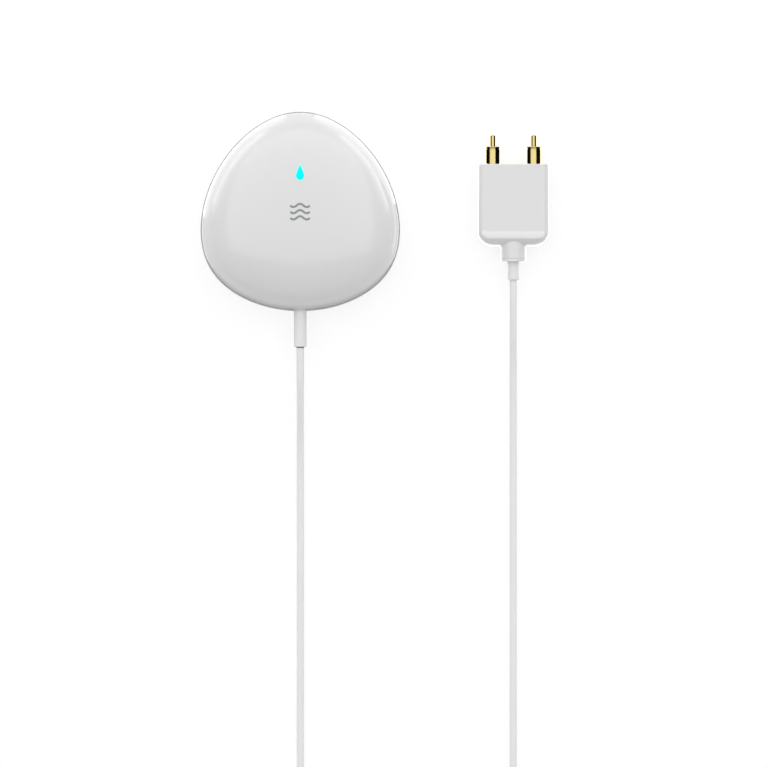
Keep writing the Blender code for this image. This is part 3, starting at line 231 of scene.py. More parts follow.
# The range of the noise that a material's roughness follows, and how detailed that noise is
GRAIN_SPAN = (0.3, 0.7)
GRAIN_DETAIL = 4.0

# Lamps; a place is an azimuth, an elevation and a distance
KEY_SIZE = (5.6, 4.6)
KEY_PLACE = (90, 70, 2.8)
KEY_LIGHT = 1.26
FILL_SIZE = (2.4, 2.4)
FILL_DEPTH = 1.0
FILL_LIGHT = 2.0
PROBE_STRIP_SIZE = (3.0, 1.17)
PROBE_STRIP_PLACE = (-90, 54, 1.2)
PROBE_STRIP_LIGHT = 4.0
STRIP_AZIMUTH = 143
STRIP_WIDTH = 1.0
STRIP_HEIGHTS = (0.12, 0.24, 0.40)
STRIP_LIGHT = 1.2
STRIP_DISTANCE = 1.2

# The room's horizon and its two soft windows
HORIZON_SPAN = (0.03, 0.14)
HORIZON_LIGHT = (1.0, 0.42)
WINDOW_AZIMUTH = 142
WINDOW_ELEVATION = 6
WINDOW_SPREAD = (math.cos(math.radians(38)), math.cos(math.radians(8)))
WINDOW_LIGHT = 0.8

# Cards that only reflections show, beside the pins and on the floor
CARD_DISTANCE = 0.0045
CARD_FLOOR_Z = 0.0002
CARD_DIP = math.radians(4)
CARD_ELEVATIONS = ((-1, math.radians(46)), (1, math.radians(58)))
DARK_CRESCENT = (195, 345, 0.0260)
BRIGHT_CRESCENTS = ((104, 172, 0.3000), (14, 76, 0.3000))
CARD_GLOW = 2.6
PROBE_CARD_MARGIN = 0.0100

# The four corners round a middle, anticlockwise
CORNERS = ((-1, -1), (1, -1), (1, 1), (-1, 1))

# How finely round shapes are divided, and which edges stay sharp and which faces flat
HEAD_SIDES = 192
HIDDEN_SIDES = 96
DOME_STEPS = 44
ROUND_SIDES = 64
SMALL_SIDES = 32
CORNER_STEPS = 10
PROBE_END_STEPS = 20
CORD_STEP = 0.0012
TURN_POINTS = 72
CORD_BEVEL_STEPS = 6
SHARP_ANGLE = math.radians(32)
FLAT_AREA = 0.000004


def linked(name, shape):
    """An object of a bmesh in the scene; the bmesh is used up."""
    mesh = bpy.data.meshes.new(name)
    shape.to_mesh(mesh)
    shape.free()
    obj = bpy.data.objects.new(name, mesh)
    bpy.context.scene.collection.objects.link(obj)
    return obj


def new_object(name, shape):
    """An object from a bmesh whose faces are turned outwards."""
    bmesh.ops.recalc_face_normals(shape, faces=shape.faces)
    return linked(name, shape)


def add_rings(shape, rings, looped=False):
    """Joins rings of points one after another in a bmesh; a ring of one point is a pole."""
    rows = [[shape.verts.new(point) for point in ring] for ring in rings]
    pairs = list(zip(rows, rows[1:]))
    if looped:
        pairs.append((rows[-1], rows[0]))
    for low, high in pairs:
        count = max(len(low), len(high))
        for i in range(count):
            j = (i + 1) % count
            if len(low) == 1:
                shape.faces.new((low[0], high[i], high[j]))
            elif len(high) == 1:
                shape.faces.new((low[i], low[j], high[0]))
            else:
                shape.faces.new((low[i], low[j], high[j], high[i]))
    if not looped:
        for row in (rows[0], rows[-1]):
            if len(row) > 1:
                shape.faces.new(row)


def loft(name, rings, looped=False):
    shape = bmesh.new()
    add_rings(shape, rings, looped)
    return new_object(name, shape)


def polar(radius, turn, height):
    """The point at a radius and a turn in radians round the Z axis."""
    return Vector((radius * math.cos(turn), radius * math.sin(turn), height))


def circle(radius, height, sides):
    return [polar(radius, math.tau * i / sides, height) for i in range(sides)]


def turned(name, profile, sides=ROUND_SIDES, looped=False):
    """A turned body about the local Z axis from (radius, height) pairs."""
    rings = [circle(radius, height, sides if radius > 0 else 1) for radius, height in profile]
    return loft(name, rings, looped)


def rod(name, radius, low, high, sides=ROUND_SIDES):
    return turned(name, ((radius, low), (radius, high)), sides)


def arc(centre, radius, start, end, steps):
    """Points on an arc, with its angles in degrees."""
    turns = [math.radians(start + (end - start) * step / steps) for step in range(steps + 1)]
    return [(centre[0] + radius * math.cos(turn), centre[1] + radius * math.sin(turn)) for turn in turns]


def rounded_rectangle(half_x, half_y, corner, centre=(0.0, 0.0)):
    """Points of a rectangle with round corners, anticlockwise."""
    points = []
    for quarter, (sx, sy) in enumerate(((1, 1), (-1, 1), (-1, -1), (1, -1))):
        turn = (centre[0] + sx * (half_x - corner), centre[1] + sy * (half_y - corner))
        points += arc(turn, corner, 90 * quarter, 90 * (quarter + 1), CORNER_STEPS)
    return points


def slab(name, outline, low, high):
    """An upright prism on an outline of (x, y) points."""
    rings = [[Vector((x, y, z)) for x, y in outline] for z in (low, high)]
    return loft(name, rings)


def block(name, low, high):
    """A box from its lowest to its highest corner."""
    outline = ((low[0], low[1]), (high[0], low[1]), (high[0], high[1]), (low[0], high[1]))
    return slab(name, outline, low[2], high[2])


def moved(obj, location=(0.0, 0.0, 0.0), rotation=(0.0, 0.0, 0.0)):
    obj.location = location
    obj.rotation_euler = rotation
    return obj


def upright(name, profile, places, sides=SMALL_SIDES):
    """The same turned body at each of the (x, y) places."""
    return [moved(turned(name, profile, sides), (*place, 0.0)) for place in places]


def boolean(target, tools, operation="DIFFERENCE"):
    """Cuts or joins closed shapes at once; the tools are used up."""
    for tool in tools:
        modifier = target.modifiers.new(operation.lower(), "BOOLEAN")
        modifier.operation = operation
        modifier.object = tool
        graph = bpy.context.evaluated_depsgraph_get()
        mesh = bpy.data.meshes.new_from_object(target.evaluated_get(graph))
        target.modifiers.clear()
        target.data = mesh
        bpy.data.objects.remove(tool)
    return target


def dress(obj, material, nodes=(), body="housing"):
    """Gives a piece its material and its body, and hides the nodes that it stands for."""
    obj.data.materials.clear()
    obj.data.materials.append(material)
    if obj.type == "MESH":
        obj.data.shade_smooth()
        obj.data.set_sharp_from_angle(angle=SHARP_ANGLE)
        for face in obj.data.polygons:
            if face.area > FLAT_AREA:
                face.use_smooth = False
    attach(obj, body)
    if nodes:
        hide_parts(*nodes)
    return obj


def smooth_route(knots, step):
    """Evenly spaced points of a smooth curve through the knots."""
    knots = [Vector(knot) for knot in knots]
    spans = [(b - a).length for a, b in zip(knots, knots[1:])]
    slopes = [(knots[1] - knots[0]) / spans[0]]
    for i in range(1, len(knots) - 1):
        before = (knots[i] - knots[i - 1]) / spans[i - 1]
        after = (knots[i + 1] - knots[i]) / spans[i]
        share = spans[i - 1] / (spans[i - 1] + spans[i])
        slopes.append(before * (1 - share) + after * share)
    slopes.append((knots[-1] - knots[-2]) / spans[-1])
    points = []
    for i, span in enumerate(spans):
        count = max(1, round(span / step))
        for k in range(count):
            t = k / count
            points.append(
                knots[i] * (2 * t**3 - 3 * t**2 + 1)
                + slopes[i] * (span * (t**3 - 2 * t**2 + t))
                + knots[i + 1] * (3 * t**2 - 2 * t**3)
                + slopes[i + 1] * (span * (t**3 - t**2))
            )
    points.append(knots[-1])
    return points


def lobed_ring(radius, height, sides=HEAD_SIDES, lobe=HEAD_LOBE):
    """The head's outline: the distance from the middle to its tangent swells at each of its points."""
    points = []
    for i in range(sides):
        turn = math.tau * i / sides
        phase = HEAD_POINTS * (turn - math.pi / 2)
        reach = radius + lobe * math.cos(phase)
        slope = -HEAD_POINTS * lobe * math.sin(phase)
        x = reach * math.cos(turn) - slope * math.sin(turn)
        y = reach * math.sin(turn) + slope * math.cos(turn)
        points.append(Vector((x, y, height)))
    return points


def dome_rings(radius, height, sides=HEAD_SIDES, steps=DOME_STEPS):
    """Rings above the parting line up to the pole."""
    rings = []
    for step in range(1, steps):
        turn = math.pi / 2 * step / steps
        across = math.cos(turn) ** (2 / DOME_POWER)
        up = math.sin(turn) ** (2 / DOME_POWER)
        rings.append(lobed_ring(radius * across, PARTING_Z + height * up, sides, HEAD_LOBE * across))
    rings.append([Vector((0.0, 0.0, PARTING_Z + height))])
    return rings


def dome(name):
    """The front cover's outer form, with a small round at the seam, inside the back shell's rim."""
    radius = HEAD_RADIUS - RIM_WIDTH - RIM_GROOVE
    seam = arc((SEAM_EASE, SEAM_EASE), SEAM_EASE, 270, 180, 3)
    rings = [lobed_ring(radius - inset, COVER_BOTTOM_Z + up) for inset, up in seam]
    return loft(name, rings + dome_rings(radius, HEAD_HEIGHT - PARTING_Z))


def dome_height(x, y):
    """How high the front cover's face is above a point near its middle."""
    turn = math.atan2(y, x)
    reach = HEAD_RADIUS + HEAD_LOBE * math.cos(HEAD_POINTS * (turn - math.pi / 2))
    share = math.hypot(x, y) / reach
    return PARTING_Z + (HEAD_HEIGHT - PARTING_Z) * (1 - share**DOME_POWER) ** (1 / DOME_POWER)


def droplet(extra, steps=20):
    """The light window's outline, grown by extra all round: two curved flanks and half an ellipse."""
    half = DROP_HALF_WIDTH + extra
    tip = DROP_TIP + DROP_TIP_GROWTH * extra
    flank = []
    for step in range(1, steps):
        t = step / steps
        x = 3 * (1 - t) ** 2 * t * DROP_NECK[0] + (3 * (1 - t) * t**2 + t**3) * half
        y = (1 - t) ** 3 * tip + 3 * (1 - t) ** 2 * t * DROP_NECK[1] + 3 * (1 - t) * t**2 * DROP_SHOULDER
        flank.append((x, y))
    foot = []
    for step in range(steps + 1):
        angle = -math.pi * step / steps
        foot.append((half * math.cos(angle), (DROP_FOOT + extra) * math.sin(angle)))
    left = [(-x, y) for x, y in reversed(flank)]
    outline = [(0.0, tip)] + flank + foot + left
    return [(x, DROP_Y + y) for x, y in reversed(outline)]


def middle(node):
    """The middle of a node's box."""
    low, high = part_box(node)
    return (low + high) / 2


def screw_places():
    return [middle(name)[:2] for name in CASE_SCREWS]


def boot_hole():
    """The way of the cord's boot through the head's side."""
    reach = 0.0080
    hole = rod("boot_hole", HEAD_BOOT_RADIUS + GAP, 0.0, reach)
    return moved(hole, (0.0, COVER_LOW.y - 2 * PAST, middle("head_boot").z), (-math.pi / 2, 0.0, 0.0))


def make_front_cover(material):
    inner = HEAD_RADIUS - COVER_WALL
    inner_steps = 14
    rings = [lobed_ring(inner, z, HIDDEN_SIDES) for z in (PARTING_Z - PAST, PARTING_Z)]
    rings += dome_rings(inner, HEAD_HEIGHT - PARTING_Z - COVER_WALL, HIDDEN_SIDES, inner_steps)
    hollow = loft("hollow", rings)
    parts_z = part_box("radio_module")[0].z
    profile = (
        (BOSS_RADIUS, POST_TOP_Z + GAP),
        (BOSS_RADIUS, parts_z),
        (BOSS_SHOULDER_RADIUS, parts_z),
        (BOSS_SHOULDER_RADIUS, HEAD_HEIGHT + PAST),
    )
    boolean(hollow, upright("boss", profile, screw_places()))
    cover = boolean(dome("cover_face"), [hollow])
    cutters = [slab("window", droplet(DROP_SEAM), LENS_BOTTOM_Z, HEAD_HEIGHT + PAST), boot_hole()]
    screw_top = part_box(CASE_SCREWS[0])[1].z + GAP
    pilot_radius = SCREW_SHANK_RADIUS + THIN_GAP
    cutters += upright("pilot", ((pilot_radius, POST_TOP_Z), (pilot_radius, screw_top)), screw_places())
    return dress(boolean(cover, cutters), material, ["front_cover"])


def bay_outline(grow, corner):
    return rounded_rectangle(BAY_HALF_LENGTH + grow, BAY_HALF_WIDTH + grow, corner, (0.0, BAY_CENTRE_Y))


def door_tab(name, grow, low, high):
    """The screw tab of the door, or its recess."""
    half_y = (DOOR_HIGH.y + grow - BAY_CENTRE_Y) / 2
    centre = (0.0, BAY_CENTRE_Y + half_y)
    outline = rounded_rectangle(DOOR_TAB_WIDTH / 2 + grow, half_y, DOOR_TAB_CORNER + grow, centre)
    return slab(name, outline, low, high)


def shell_outer_rings():
    """The back shell's outside: flat back, rounded side, rim with its groove, ledge and lip."""
    rings = []
    steps = 24
    for step in range(steps):
        turn = math.pi / 2 * (1 - step / steps)
        inset = BASE_INSET * (1 - math.cos(turn))
        rings.append((inset, PARTING_Z * (1 - math.sin(turn))))
    ease = RIM_WIDTH / 2
    rings += [(inset, PARTING_Z - ease + up) for inset, up in arc((ease, 0.0), ease, 180, 90, 3)]
    groove_low = PARTING_Z - RIM_GROOVE_DEPTH
    inner = RIM_WIDTH + RIM_GROOVE
    rings += [(RIM_WIDTH, PARTING_Z), (RIM_WIDTH, groove_low), (inner, groove_low), (inner, PARTING_Z)]
    rings += [(LIP_INSET, PARTING_Z), (LIP_INSET, PARTING_Z + LIP_HEIGHT)]
    return [lobed_ring(HEAD_RADIUS - inset, z) for inset, z in rings]


def shell_inner_rings():
    """The back shell's hollow: a round corner at its floor, and a plain wall."""
    foot = arc((SHELL_INSIDE + FLOOR_CORNER, FLOOR_CORNER), FLOOR_CORNER, 270, 180, 6)
    rings = [lobed_ring(HEAD_RADIUS - inset, FLOOR + up, HIDDEN_SIDES) for inset, up in foot]
    top = PARTING_Z + LIP_HEIGHT + PAST
    rings.append(lobed_ring(HEAD_RADIUS - SHELL_INSIDE, top, HIDDEN_SIDES))
    return rings


def make_back_shell(material):
    shell = loft("back_case", shell_outer_rings())
    boolean(shell, [loft("hollow", shell_inner_rings())])
    root_z = FLOOR / 2
    door_screw = [(0.0, middle("door_screw").y)]
    joined = [slab("tub", bay_outline(BAY_WALL, BAY_CORNER + BAY_WALL), root_z, TUB_TOP_Z)]
    joined += upright("post", ((POST_RADIUS, root_z), (POST_RADIUS, POST_TOP_Z)), screw_places())
    boss_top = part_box("door_screw")[1].z + 2 * GAP
    profile = ((DOOR_BOSS_RADIUS, root_z), (DOOR_BOSS_RADIUS, boss_top + PAST))
    joined += upright("door_boss", profile, door_screw)
    saddle_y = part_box("head_boot")[1].y + GAP
    exit_z = HEAD_ROUTE[0][2]
    low = (-SADDLE_WIDTH / 2, saddle_y, root_z)
    joined.append(block("saddle", low, (SADDLE_WIDTH / 2, saddle_y + SADDLE_THICKNESS, exit_z)))
    boolean(shell, joined, "UNION")

    ledge_z = DOOR_THICKNESS + GAP
    cutters = [
        slab("bay", bay_outline(0.0, BAY_CORNER), -PAST, BAY_TOP_Z),
        slab("recess", bay_outline(DOOR_LEDGE, BAY_CORNER + DOOR_LEDGE), -PAST, ledge_z),
        door_tab("tab_recess", GAP, -PAST, ledge_z),
        boot_hole(),
    ]
    notch = rod("notch", SADDLE_NOTCH_RADIUS, 0.0, SADDLE_THICKNESS + 2 * PAST, SMALL_SIDES)
    cutters.append(moved(notch, (0.0, saddle_y - PAST, exit_z), (-math.pi / 2, 0.0, 0.0)))
    seat_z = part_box(CASE_SCREWS[0])[0].z + SCREW_HEAD_HEIGHT + GAP
    way = SCREW_HEAD_RADIUS + GAP
    ease = 0.00025
    profile = [(way + ease + PAST, -PAST), (way + ease, 0.0), (way, ease), (way, seat_z)]
    profile += [(SCREW_SHANK_RADIUS + GAP, seat_z), (SCREW_SHANK_RADIUS + GAP, POST_TOP_Z + PAST)]
    cutters += upright("screw_way", profile, screw_places(), ROUND_SIDES)
    pilot_radius = DOOR_SCREW_SHANK_RADIUS + THIN_GAP
    cutters += upright("pilot", ((pilot_radius, -PAST), (pilot_radius, boss_top)), door_screw)
    ease = 0.0002
    hole_radius = BUTTON_RADIUS + GAP
    profile = [(DISH_RADIUS, -PAST), (DISH_RADIUS, 0.0)]
    profile += arc((DISH_RADIUS, DISH_DEPTH + ease), DISH_DEPTH + ease, 270, 190, 8)[1:]
    profile += [(hole_radius + ease, DISH_DEPTH), (hole_radius, DISH_DEPTH + ease)]
    profile.append((hole_radius, FLOOR + PAST))
    cutters += upright("dish", profile, [(0.0, BUTTON_Y)], ROUND_SIDES)
    half = 0.0010 + GAP
    for name in ("contact_negative", "contact_positive"):
        low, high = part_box(name)
        y = middle(name).y
        low_corner = (low.x - GAP / 2, y - half, BAY_TOP_Z - PAST)
        cutters.append(block("slot", low_corner, (high.x + GAP / 2, y + half, TUB_TOP_Z + PAST)))
    for x in TONGUE_X:
        half = TONGUE_WIDTH / 2 + GAP
        low_z = FLOOR + GAP / 2
        low = (x - half, DOOR_LOW.y - GAP, low_z)
        high = (x + half, BAY_CENTRE_Y - BAY_HALF_WIDTH + PAST, low_z + TONGUE_THICKNESS + 2 * GAP)
        cutters.append(block("window", low, high))
    boolean(shell, cutters)
    return dress(shell, material, ["back_shell"])


def make_battery_door(material):
    """The door with a soft edge, a recessed arrow and three grip grooves beside its screw."""
    ease = 0.00025
    grow = DOOR_LEDGE - GAP
    corner = BAY_CORNER + grow
    rings = []
    for inset, up in ((ease, 0.0), (ease / 3, ease / 3), (0.0, ease), (0.0, DOOR_THICKNESS)):
        rings.append([Vector((x, y, up)) for x, y in bay_outline(grow - inset, corner - inset)])
    door = loft("door_panel", rings)
    joined = [door_tab("tab", 0.0, 0.0, DOOR_THICKNESS)]
    riser_y = BAY_CENTRE_Y - BAY_HALF_WIDTH + GAP
    tongue_z = FLOOR + 1.5 * GAP
    top = tongue_z + TONGUE_THICKNESS
    for x in TONGUE_X:
        low_x = x - TONGUE_WIDTH / 2
        high_x = x + TONGUE_WIDTH / 2
        high = (high_x, riser_y + RISER_THICKNESS, top)
        joined.append(block("riser", (low_x, riser_y, DOOR_THICKNESS / 2), high))
        high = (high_x, riser_y + RISER_THICKNESS / 2, top)
        joined.append(block("tongue", (low_x, DOOR_LOW.y, tongue_z), high))
    boolean(door, joined, "UNION")
    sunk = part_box("door_screw")[0].z
    profile = (
        (DOOR_SCREW_HEAD_RADIUS + GAP + THIN_GAP + PAST, -PAST),
        (DOOR_SCREW_HEAD_RADIUS + GAP, sunk),
        (DOOR_SCREW_SHANK_RADIUS + GAP, sunk + DOOR_SCREW_HEAD_HEIGHT),
        (DOOR_SCREW_SHANK_RADIUS + GAP, DOOR_THICKNESS + PAST),
    )
    cutters = upright("sink", profile, [(0.0, middle("door_screw").y)], ROUND_SIDES)
    groove_depth = 0.0003
    groove_size = (0.0050, 0.0003, 0.00029)
    groove_pitch = 0.0013
    first_y = BAY_CENTRE_Y + BAY_HALF_WIDTH - 0.0016
    for line in range(3):
        outline = rounded_rectangle(*groove_size, (0.0, first_y - groove_pitch * line))
        cutters.append(slab("groove", outline, -PAST, groove_depth))
    arrow_y = BAY_CENTRE_Y + 0.0012
    arrow_half = 0.0026
    arrow = [(0.0, arrow_y + 0.0030), (-arrow_half, arrow_y), (arrow_half, arrow_y)]
    cutters.append(slab("arrow", arrow, -PAST, groove_depth))
    boolean(door, cutters)
    return dress(door, material, ["battery_door"])


def cross_recess(radius, depth):
    """The tool that cuts a tapering cross into a screw head, whose face is at z = 0."""
    arms = []
    reach = 0.62 * radius
    half = 0.16 * radius
    foot = 0.6
    for half_x, half_y in ((reach, half), (half, reach)):
        rings = []
        for share, z in ((1.0, -PAST), (1.0, 0.0), (foot, depth)):
            rings.append([Vector((sx * half_x * share, sy * half_y * share, z)) for sx, sy in CORNERS])
        arms.append(loft("arm", rings))
    return boolean(arms[0], arms[1:], "UNION")


def threaded(name, head, radius, low, high, pitch):
    """A screw: a turned head from (radius, height) pairs, a helical thread and a tapered tip."""
    rings = [circle(reach, height, THREAD_SIDES) for reach, height in head]
    depth = 0.3 * pitch
    count = round((high - low) / pitch * THREAD_STEPS)
    for step in range(count + 1):
        height = low + (high - low) * step / count
        taper = min(1.0, (high - height) / radius)
        reach = SCREW_TIP_RADIUS + (radius - SCREW_TIP_RADIUS) * taper
        cut = depth * min(taper, (height - low) / pitch, 1.0)
        ring = []
        for side in range(THREAD_SIDES):
            turn = math.tau * side / THREAD_SIDES
            phase = (height / pitch - side / THREAD_SIDES) % 1.0
            ring.append(polar(reach - cut * abs(2 * phase - 1), turn, height))
        rings.append(ring)
    return loft(name, rings)


def make_screw(name, node, material, head, head_radius, head_height, shank_radius):
    """A threaded screw in the place of a node, its face with the cross looking down."""
    low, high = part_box(node)
    screw = threaded(name, head, shank_radius, head_height, high.z - low.z, SCREW_PITCH)
    boolean(screw, [cross_recess(head_radius, head_height / 2)])
    moved(screw, (*middle(node)[:2], low.z))
    dress(screw, material, [node])


def make_screws(material):
    """Pan-head screws of the case and the countersunk screw of the door."""
    edge = 0.0005
    fine = 0.0001
    head = arc((SCREW_HEAD_RADIUS - edge, edge), edge, 270, 360, 5)
    head += [(SCREW_HEAD_RADIUS, SCREW_HEAD_HEIGHT - fine), (SCREW_HEAD_RADIUS - fine, SCREW_HEAD_HEIGHT)]
    sizes = (SCREW_HEAD_RADIUS, SCREW_HEAD_HEIGHT, SCREW_SHANK_RADIUS)
    for number, node in enumerate(CASE_SCREWS, 1):
        make_screw(f"pan_screw_{number}", node, material, head, *sizes)
    head = [(DOOR_SCREW_HEAD_RADIUS - fine, 0.0), (DOOR_SCREW_HEAD_RADIUS, fine)]
    sizes = (DOOR_SCREW_HEAD_RADIUS, DOOR_SCREW_HEAD_HEIGHT, DOOR_SCREW_SHANK_RADIUS)
    make_screw("sunk_screw", "door_screw", material, head, *sizes)


def make_button_cap(material):
    """The pairing button: a dished face with a soft edge, a flange that keeps it in, and a stem."""
    sunk = BUTTON_LOW.z
    flange_radius = (BUTTON_HIGH.x - BUTTON_LOW.x) / 2
    flange_low = FLOOR + GAP
    flange_thickness = 0.0010
    flange_high = flange_low + flange_thickness
    stem_radius = 0.0012
    edge = 0.0004
    dish = 0.00022
    rim = BUTTON_RADIUS - edge
    dish_radius = 0.85 * rim
    profile = [(0.0, sunk + dish)]
    steps = 8
    for step in range(1, steps + 1):
        share = step / steps
        profile.append((dish_radius * share, sunk + dish * (1 - share**2)))
    profile += arc((rim, sunk + edge), edge, 270, 360, 6)
    profile += [(BUTTON_RADIUS, flange_low), (flange_radius, flange_low), (flange_radius, flange_high)]
    profile += [(stem_radius, flange_high), (stem_radius, BUTTON_HIGH.z), (0.0, BUTTON_HIGH.z)]
    button = moved(turned("button_cap", profile), (0.0, BUTTON_Y, 0.0))
    return dress(button, material, ["pair_button"], body="button")


def spring(name, low_radius, high_radius, low, high, turns, wire_radius):
    """A coiled wire about the local Z axis with closed ends, as a mesh."""
    points_a_turn = 28
    wire_sides = 10
    count = turns * points_a_turn
    closing = 0.35
    points = []
    for i in range(count + 1):
        share = i / count
        turn = math.tau * turns * share
        radius = low_radius + (high_radius - low_radius) * share
        rise = share - closing * math.sin(math.tau * share) / math.tau
        points.append(polar(radius, turn, low + (high - low) * rise))
    rings = []
    for i, point in enumerate(points):
        along = (points[min(i + 1, count)] - points[max(i - 1, 0)]).normalized()
        outwards = Vector((point.x, point.y, 0.0)).normalized()
        across = along.cross(outwards).normalized()
        outwards = across.cross(along)
        ring = []
        for side in range(wire_sides):
            turn = math.tau * side / wire_sides
            ring.append(point + (outwards * math.cos(turn) + across * math.sin(turn)) * wire_radius)
        rings.append(ring)
    return loft(name, rings)


def make_springs(plated, steel):
    """Conical springs behind the cells, and the springs in the pins, which shorten as a pin is pressed."""
    foot_radius = 0.0034
    tip_radius = 0.0020
    wire_radius = 0.0003
    for number, side in ((1, 1), (2, -1)):
        node = f"battery_spring_{number}"
        low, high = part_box(node)
        length = high.x - low.x - 2 * wire_radius
        made = spring(f"cell_spring_{number}", foot_radius, tip_radius, 0.0, length, 3, wire_radius)
        start = low.x + wire_radius if side == 1 else high.x - wire_radius
        moved(made, (start, *middle(node)[1:]), (0.0, side * math.pi / 2, 0.0))
        dress(made, plated, [node])
    radius = 0.00145
    wire_radius = 0.0002
    for number, x in enumerate(PIN_X, 1):
        node = f"pin_spring_{number}"
        low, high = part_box(node)
        length = high.y - low.y
        name = f"press_spring_{number}"
        made = spring(name, radius, radius, wire_radius, length - wire_radius, 8, wire_radius)
        along_probe(made, x, low.y)
        dress(made, steel, [node])
        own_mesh(made)


def make_tie(material):
    """The soft band round the stored turns, with rounded edges."""
    low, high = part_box("coil_tie")
    thickness = 0.0005
    half_x = (high.x - low.x) / 2
    half_y = (high.y - low.y) / 2 - thickness
    half_z = (high.z - low.z) / 2 - thickness
    edge = thickness * 0.35
    section = [(0.0, -half_x + edge), (edge, -half_x)]
    section += [(thickness - edge, -half_x), (thickness, -half_x + edge)]
    section += [(grow, -x) for grow, x in reversed(section)]
    rings = []
    for grow, x in section:
        outline = rounded_rectangle(half_y + grow, half_z + grow, CORD_RADIUS + grow)
        rings.append([Vector((x, y, z)) for y, z in outline])
    tie = loft("cord_tie", rings, looped=True)
    moved(tie, middle("coil_tie"))
    return dress(tie, material, ["coil_tie"])


def make_droplet_lens(material):
    """A light guide whose face follows the dome, on a flange under the cover."""
    flange_top = LENS_BOTTOM_Z + DROP_FLANGE_THICKNESS
    flange_gap = 0.00002
    inside_flange = flange_top - DROP_FLANGE_THICKNESS / 2
    lens = slab("droplet_window", droplet(0.0), inside_flange, HEAD_HEIGHT + PAST)
    boolean(lens, [dome("limit")], "INTERSECT")
    boolean(lens, [slab("flange", droplet(DROP_FLANGE), LENS_BOTTOM_Z, flange_top - flange_gap)], "UNION")
    return dress(lens, material, ["droplet_lens"])


def make_camera():
    data = bpy.data.cameras.new("camera")
    data.lens = CAMERA_LENS
    data.sensor_width = CAMERA_SENSOR
    data.clip_start = 0.01
    data.clip_end = 100.0
    camera = bpy.data.objects.new("camera", data)
    distance = CAMERA_LENS / CAMERA_SENSOR * VIEW_WIDTH
    camera.location = (*VIEW_CENTRE, VIEW_PLANE_Z + distance)
    bpy.context.scene.collection.objects.link(camera)
    bpy.context.scene.camera = camera


def cord_points():
    """From the head's boot to the coil, through its two layers of turns, and to the probe's boot."""
    centre = Vector((*COIL_CENTRE, 0.0))
    half_way = COIL_TURNS / 2
    turning = 0.05
    inner_turn = COIL_OUTER_TURN - COIL_PITCH * half_way
    count = round(COIL_TURNS * TURN_POINTS)
    turns = []
    for i in range(count + 1):
        travelled = COIL_TURNS * i / count
        past_middle = travelled - half_way
        radius = inner_turn + COIL_PITCH * math.sqrt(past_middle**2 + turning**2)
        share = min(1.0, max(0.0, (past_middle + COIL_CLIMB) / (2 * COIL_CLIMB)))
        height = COIL_LOW_Z + COIL_LAYER * share**2 * (3 - 2 * share)
        angle = COIL_START + math.tau * travelled
        turns.append(centre + polar(radius, angle, height))
    inside = BOOT_MOUTH_DEPTH - THIN_GAP
    start = (0.0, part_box("head_boot")[0].y + inside, HEAD_ROUTE[0][2])
    end = (PROBE_X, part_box("probe_boot")[0].y + inside, PROBE_Z)
    way_in = smooth_route((start, *HEAD_ROUTE, turns[0]), CORD_STEP)
    way_out = smooth_route((turns[-1], *reversed(PROBE_ROUTE), end), CORD_STEP)
    return way_in[:-1] + turns + way_out[1:]


def make_cord(material, tie):
    points = cord_points()
    curve = bpy.data.curves.new("cord", "CURVE")
    curve.dimensions = "3D"
    curve.bevel_depth = CORD_RADIUS
    curve.bevel_resolution = CORD_BEVEL_STEPS
    curve.use_fill_caps = True
    spline = curve.splines.new("POLY")
    spline.points.add(len(points) - 1)
    for point, place in zip(spline.points, points):
        point.co = (*place, 1.0)
    spline.use_smooth = True
    cord = bpy.data.objects.new("cord", curve)
    bpy.context.scene.collection.objects.link(cord)
    dress(cord, material, ["cord_run_head", "cord_coil", "cord_run_probe"])


def boot_profile(length, flange_radius, radius, end_radius):
    """From the flange out along the boot to its round lip, and into the mouth that the cord leaves."""
    lip = 0.0003
    flange = BOOT_FLANGE_THICKNESS
    profile = [(0.0, 0.0), (flange_radius, 0.0), (flange_radius, flange), (radius, flange)]
    profile += arc((end_radius - lip, length - lip), lip, 0, 90, 6)
    profile += arc((BOOT_MOUTH_RADIUS + lip / 2, length - lip / 2), lip / 2, 90, 180, 3)
    inner = length - BOOT_MOUTH_DEPTH
    return profile + [(BOOT_MOUTH_RADIUS, inner), (0.0, inner)]


def make_boots(material, dark):
    """The boots of both ends, and a thin dark ring where the cord enters the head's boot: a painted shadow
    of the boot's mouth.
    """
    along = (math.pi / 2, 0.0, 0.0)
    for node, radius, end_radius in (
        ("head_boot", HEAD_BOOT_RADIUS, HEAD_BOOT_RADIUS),
        ("probe_boot", PROBE_BOOT_RADIUS, PROBE_BOOT_END_RADIUS),
    ):
        low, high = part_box(node)
        profile = boot_profile(high.y - low.y, (high.x - low.x) / 2, radius, end_radius)
        boot = turned(node + "_moulding", profile)
        moved(boot, (middle(node).x, high.y, middle(node).z), along)
        dress(boot, material, [node])
    # A dark ring round the cord in the head boot's mouth is a painted shadow: a dark piece that stands for
    # the shade in the mouth
    shadow_ring_radius = CORD_RADIUS + 0.00008
    shadow_ring_shows = 0.0003
    shadow_ring = rod("mouth_shadow_ring", shadow_ring_radius, 0.0, BOOT_MOUTH_DEPTH + shadow_ring_shows, SMALL_SIDES)
    bore = rod("bore", CORD_RADIUS - THIN_GAP, -PAST, BOOT_MOUTH_DEPTH + PAST, SMALL_SIDES)
    boolean(shadow_ring, [bore])
    moved(shadow_ring, (0.0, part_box("head_boot")[0].y + BOOT_MOUTH_DEPTH, middle("head_boot").z), along)
    dress(shadow_ring, dark)


def round_inset(height, radius):
    """How far a rounded end has drawn in at a height above its lowest point."""
    if height >= radius:
        return 0.0
    return radius - math.sqrt(radius**2 - (radius - height) ** 2)


def probe_ring(half_width, half_depth, edge, y):
    """A section across the probe."""
    limit = 0.95
    edge = min(edge, half_width * limit, half_depth * limit)
    return [Vector((x, y, z)) for x, z in rounded_rectangle(half_width, half_depth, edge)]


